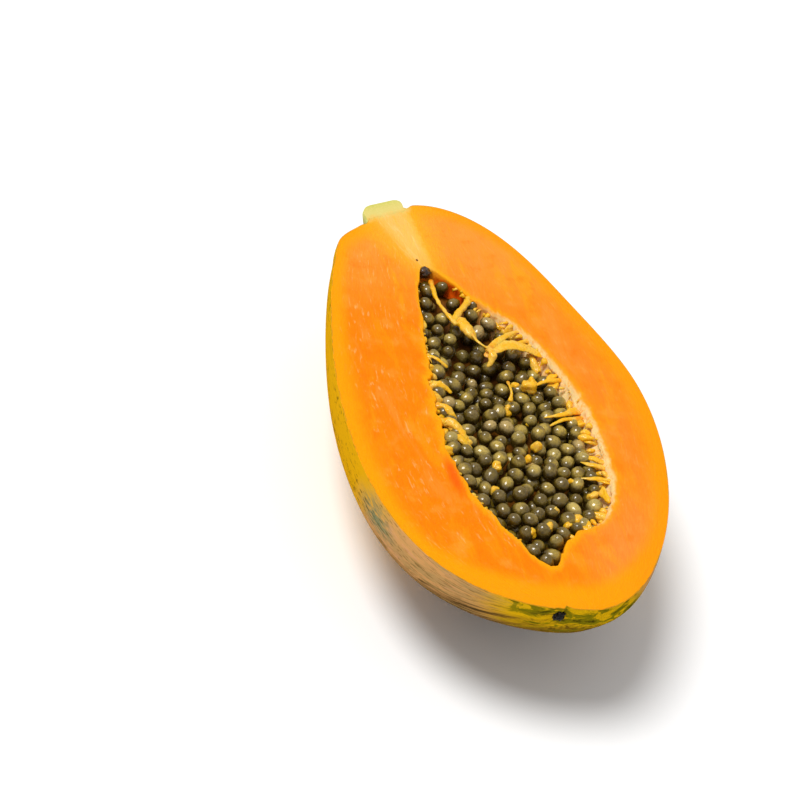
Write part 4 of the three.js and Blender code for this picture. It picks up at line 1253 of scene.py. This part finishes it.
def stub_rings(around=72, levels=34):
    """The stub: its lathe profile turned to stand out of the shoulder, slanted, and cut level with
    the face by drawing every point that lies above it down to it."""
    heights = np.linspace(0, 1, levels)
    profile = catmull_rom(STUB_PROFILE, heights)
    angle = 2 * np.pi * np.arange(around) / around
    radius = profile[:, :1] * (1 + 0.012 * np.sin(5 * angle[None]))
    y, z = radius * np.cos(angle), radius * np.sin(angle)
    x = -profile[:, 1:] - STUB_SLANT * y
    top = -KNIFE_ABOVE_AXIS / 2 + z
    below_flesh = smoothstep(STUB_BASE[0] + x + STALK_SLOPE * (STUB_BASE[1] + y + 6.5), 3.0, 5.4)
    face = 0.03 - 0.5 * below_flesh
    rings = np.stack([STUB_BASE[0] + x, STUB_BASE[1] + y, np.minimum(top, face)], -1)
    rings += 0.12 * lumps(rings, 3.0, 41)[..., None] * [0.6, 1, 0] * (rings[..., 2:] < 0)
    along = np.broadcast_to(heights[None, :, None], (1, levels, around))
    return rings[None], rings[0].mean(0)[None], rings[-1].mean(0)[None], along


def stub_material(look, flesh):
    """The cut face has the cut flesh's own colours, so that no seam shows, and turns greener away
    from it. The rind is dull with lengthwise marks, and darker on its lower side, which is painted
    shade."""
    finish = Finish("papaya_stub")
    place = finish.fruit_place()
    x, y, z = finish.axes(place)
    grain = finish.noise(finish.stretch(place, (0.15, 0.8, 0.8)), 1.0, 4.0, 0.6)
    fine = finish.noise(place, 1.2, 3.0)
    cut = finish.layers(
        cut_colour(finish, flesh, place, x, y, FAR, FAR, 0.0, place),
        (finish.rise(x + STALK_SLOPE * y + 6.0 * fine, 1.5, -4.0) * 0.85, look.cut),
        (finish.rise(fine, 0.5, 0.7) * 0.2, STUB_CREAM),
    )
    # Painted shade: the rind is darker on its lower side below the cut face, with its edge broken
    # into lengthwise marks by the grain.
    rind = finish.mix(finish.rise(z + 3 * grain, 0.5, -2.5) * 0.8, look.rind, look.shade)
    rind = finish.mix(finish.rise(fine, 0.5, 0.62) * 0.4, rind, RIND_PALE)
    colour = finish.mix(finish.rise(z + 0.3 * grain, 0.0, 0.1), rind, cut)
    bump = finish.relief(grain, 0.3, 0.5)
    return finish.surface(Base_Color=colour, Roughness=0.5 + 0.1 * fine, Normal=bump,
                          Specular_IOR_Level=0.12)


def scar_rings(around=28, levels=16):
    """The dry blossom scar: a sphere raised and lowered by sharp relief and flattened lengthwise."""
    unit = unit_sphere(around, levels)
    crumbs = 1 - 0.35 * np.abs(lumps(unit * 3, 3.2, 51)) + 0.14 * lumps(unit * 3, 1.3, 52)
    ball = unit * crumbs[..., None] * SCAR_RADIUS * [0.8, 1.0, 0.95]
    centre = np.array(SCAR_CENTRE) - [0.35, 0, 0]
    poles = centre + np.array([[0, 0, 1.0], [0, 0, -1.0]]) * SCAR_RADIUS * 0.8
    return (centre + ball)[None], poles[:1], poles[1:], np.zeros((1, levels, around))


def scar_material(look):
    """Almost black, with brown crumbs."""
    finish = Finish("papaya_scar")
    place = finish.fruit_place()
    fine = finish.noise(place, 1.4, 4.0)
    colour = finish.mix(finish.rise(fine, 0.55, 0.75), look.scar, SCAR_BROWN)
    bump = finish.relief(fine, 0.6, 0.8)
    return finish.surface(Base_Color=colour, Roughness=0.3 + 0.3 * fine, Normal=bump,
                          Specular_IOR_Level=0.05, Coat_Weight=0.3, Coat_Roughness=0.08)


class PAPAYA_OT_flesh(bpy.types.Operator):
    """Makes the flesh with its skin and cavity wall"""
    bl_idname = "papaya.flesh"
    bl_label = "Flesh and skin"

    def execute(self, context):
        look = context.scene.papaya_flesh
        skin, face, wall = flesh_rings(look)
        rings = np.concatenate([skin, face, wall])
        attributes = flesh_attributes(skin, face, wall)
        foot, floor = skin[0].mean(0), wall[-1].mean(0)
        points, faces = shells(rings[None], foot[None], floor[None])
        values = {}
        for key, value in attributes.items():
            rows = value.reshape(-1, *value.shape[2:])
            values[key] = np.concatenate([rows, value[0, :1], value[-1, :1]])
        around = rings.shape[1]
        row = np.arange((len(rings) - 1) * around) // around
        indices = np.concatenate([row >= len(skin) - 1, np.zeros(around), np.ones(around)])
        materials = [skin_material(look), flesh_material(look)]
        add_piece("flesh_and_skin", points, faces, materials, values, ["fruit_half"],
                  indices)
        return {"FINISHED"}


class PAPAYA_OT_seeds(bpy.types.Operator):
    """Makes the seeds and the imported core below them"""
    bl_idname = "papaya.seeds"
    bl_label = "Seeds"

    def execute(self, context):
        look = context.scene.papaya_seeds
        centres, radii, turns, tilts, tone = seed_parts(look)
        shell, poles, along, up = seed_shells(centres, radii, turns, tilts, tone < 0)
        points, faces = shells(shell, poles[:, 0], poles[:, 1])
        tones = np.concatenate([np.repeat(tone, shell.shape[1] * shell.shape[2]), tone, tone])
        tips = np.concatenate([along.ravel(), np.ones(2 * len(radii))])
        core, top, bottom = core_shell()
        core_points, core_faces = shells(core, top, bottom)
        count = sum(len(part) for part in faces)
        below = sum(len(part) for part in core_faces)
        faces = faces + [part[:, ::-1] + len(points) for part in core_faces]
        zeros = np.zeros(len(core_points))
        values = {"tone": np.concatenate([tones, zeros]), "tip": np.concatenate([tips, zeros]),
                  "up": np.concatenate([up, zeros])}
        indices = np.concatenate([np.zeros(count), np.ones(below)])
        add_piece("seed_mass", np.concatenate([points, core_points]), faces,
                  [seed_material(look), core_material(look)], values, ["seeds"], indices)
        return {"FINISHED"}


class PAPAYA_OT_placenta(bpy.types.Operator):
    """Makes the strands, the wall's spikes and the tufts among the seeds"""
    bl_idname = "papaya.placenta"
    bl_label = "Strands, spikes and tufts"

    def execute(self, context):
        look = context.scene.papaya_placenta
        spikes = tubes(*wall_spikes(look.spikes), flatness=0.7)
        strands = [tubes([path], [radii], flatness, around=16, steps=36, knobs=0.25 * flatness)
                   for flatness, radii, path in STRANDS]
        points, faces, along = gather([spikes, *strands, tuft_shells()])
        add_piece("placenta", points, faces, [placenta_material(look)], {"along": along},
                  ["fruit_half"])
        return {"FINISHED"}


class PAPAYA_OT_stub(bpy.types.Operator):
    """Makes the stem stub and the blossom scar"""
    bl_idname = "papaya.stub"
    bl_label = "Stem stub and blossom scar"

    def execute(self, context):
        look = context.scene.papaya_stub
        stub = stub_material(look, context.scene.papaya_flesh)
        points, faces, _ = gather([stub_rings()])
        add_piece("stalk_stub", points, faces, [stub], {}, ["stem_stub"])
        points, faces, _ = gather([scar_rings()])
        add_piece("blossom_scar", points, faces, [scar_material(look)], {}, ["fruit_half"])
        return {"FINISHED"}


class PAPAYA_OT_stage(bpy.types.Operator):
    """Makes the floor, the lights and the camera"""
    bl_idname = "papaya.stage"
    bl_label = "Floor, lights and camera"

    def execute(self, context):
        look, scene = context.scene.papaya_stage, context.scene
        mesh = bpy.data.meshes.new("floor")
        sides = [(-1, -1), (1, -1), (1, 1), (-1, 1)]
        corners = [(FLOOR_HALF * x, FLOOR_HALF * y, 0) for x, y in sides]
        mesh.from_pydata(corners, [], [(0, 1, 2, 3)])
        finish = Finish("plain_floor")
        mesh.materials.append(finish.surface(Base_Color=tuple(look.floor), Roughness=0.6))
        floor = bpy.data.objects.new("floor", mesh)
        scene.collection.objects.link(floor)

        sun = bpy.data.lights.new("key", "SUN")
        sun.energy, sun.angle = look.sun, KEY_ANGLE
        key = bpy.data.objects.new("key", sun)
        key.rotation_mode = "QUATERNION"
        key.rotation_quaternion = Vector(KEY_WAY).to_track_quat("Z", "Y")
        scene.collection.objects.link(key)

        world = bpy.data.worlds.new("studio")
        world.use_nodes = True
        light = world.node_tree.nodes["Background"].inputs
        light["Color"].default_value = (1, 1, 1, 1)
        light["Strength"].default_value = look.fill
        scene.world = world

        camera = bpy.data.objects.new("camera", bpy.data.cameras.new("camera"))
        camera.data.lens, camera.data.sensor_width = look.lens, SENSOR
        camera.data.clip_start = 0.01
        pose = (Matrix.Rotation(look.azimuth, 4, "Z")
                @ Matrix.Rotation(math.pi / 2 - look.elevation, 4, "X")
                @ Matrix.Rotation(look.roll, 4, "Z"))
        aim = Vector(look.aim) + Vector(FRUIT_ORIGIN * MM)
        place = aim + pose.to_3x3() @ Vector((0, 0, look.distance))
        camera.matrix_world = Matrix.Translation(place) @ pose
        scene.collection.objects.link(camera)
        scene.camera = camera
        scene.view_settings.view_transform = "Standard"
        return {"FINISHED"}


class PAPAYA_PT_pieces(bpy.types.Panel):
    """Lists the pieces of the half papaya"""
    bl_idname = "PAPAYA_PT_pieces"
    bl_label = "Half papaya"
    bl_space_type = "VIEW_3D"
    bl_region_type = "UI"
    bl_category = "Papaya"

    def draw(self, context):
        for operator, group in PIECES:
            self.layout.operator(operator.bl_idname)
            look = getattr(context.scene, group)
            for name in look.bl_rna.properties.keys():
                if name not in ("rna_type", "name"):
                    self.layout.prop(look, name)


LOOKS = {
    "papaya_flesh": FleshLook,
    "papaya_seeds": SeedLook,
    "papaya_placenta": PlacentaLook,
    "papaya_stub": StubLook,
    "papaya_stage": StageLook,
}
PIECES = [
    (PAPAYA_OT_flesh, "papaya_flesh"),
    (PAPAYA_OT_seeds, "papaya_seeds"),
    (PAPAYA_OT_placenta, "papaya_placenta"),
    (PAPAYA_OT_stub, "papaya_stub"),
    (PAPAYA_OT_stage, "papaya_stage"),
]


def register():
    for look in LOOKS.values():
        bpy.utils.register_class(look)
    for operator, _ in PIECES:
        bpy.utils.register_class(operator)
    bpy.utils.register_class(PAPAYA_PT_pieces)
    for name, look in LOOKS.items():
        setattr(bpy.types.Scene, name, bpy.props.PointerProperty(type=look))


def unregister():
    for name in LOOKS:
        delattr(bpy.types.Scene, name)
    bpy.utils.unregister_class(PAPAYA_PT_pieces)
    for operator, _ in reversed(PIECES):
        bpy.utils.unregister_class(operator)
    for look in reversed(LOOKS.values()):
        bpy.utils.unregister_class(look)


def main():
    register()
    for name in ("flesh", "seeds", "placenta", "stub", "stage"):
        getattr(bpy.ops.papaya, name)()


if __name__ == "__main__":
    main()
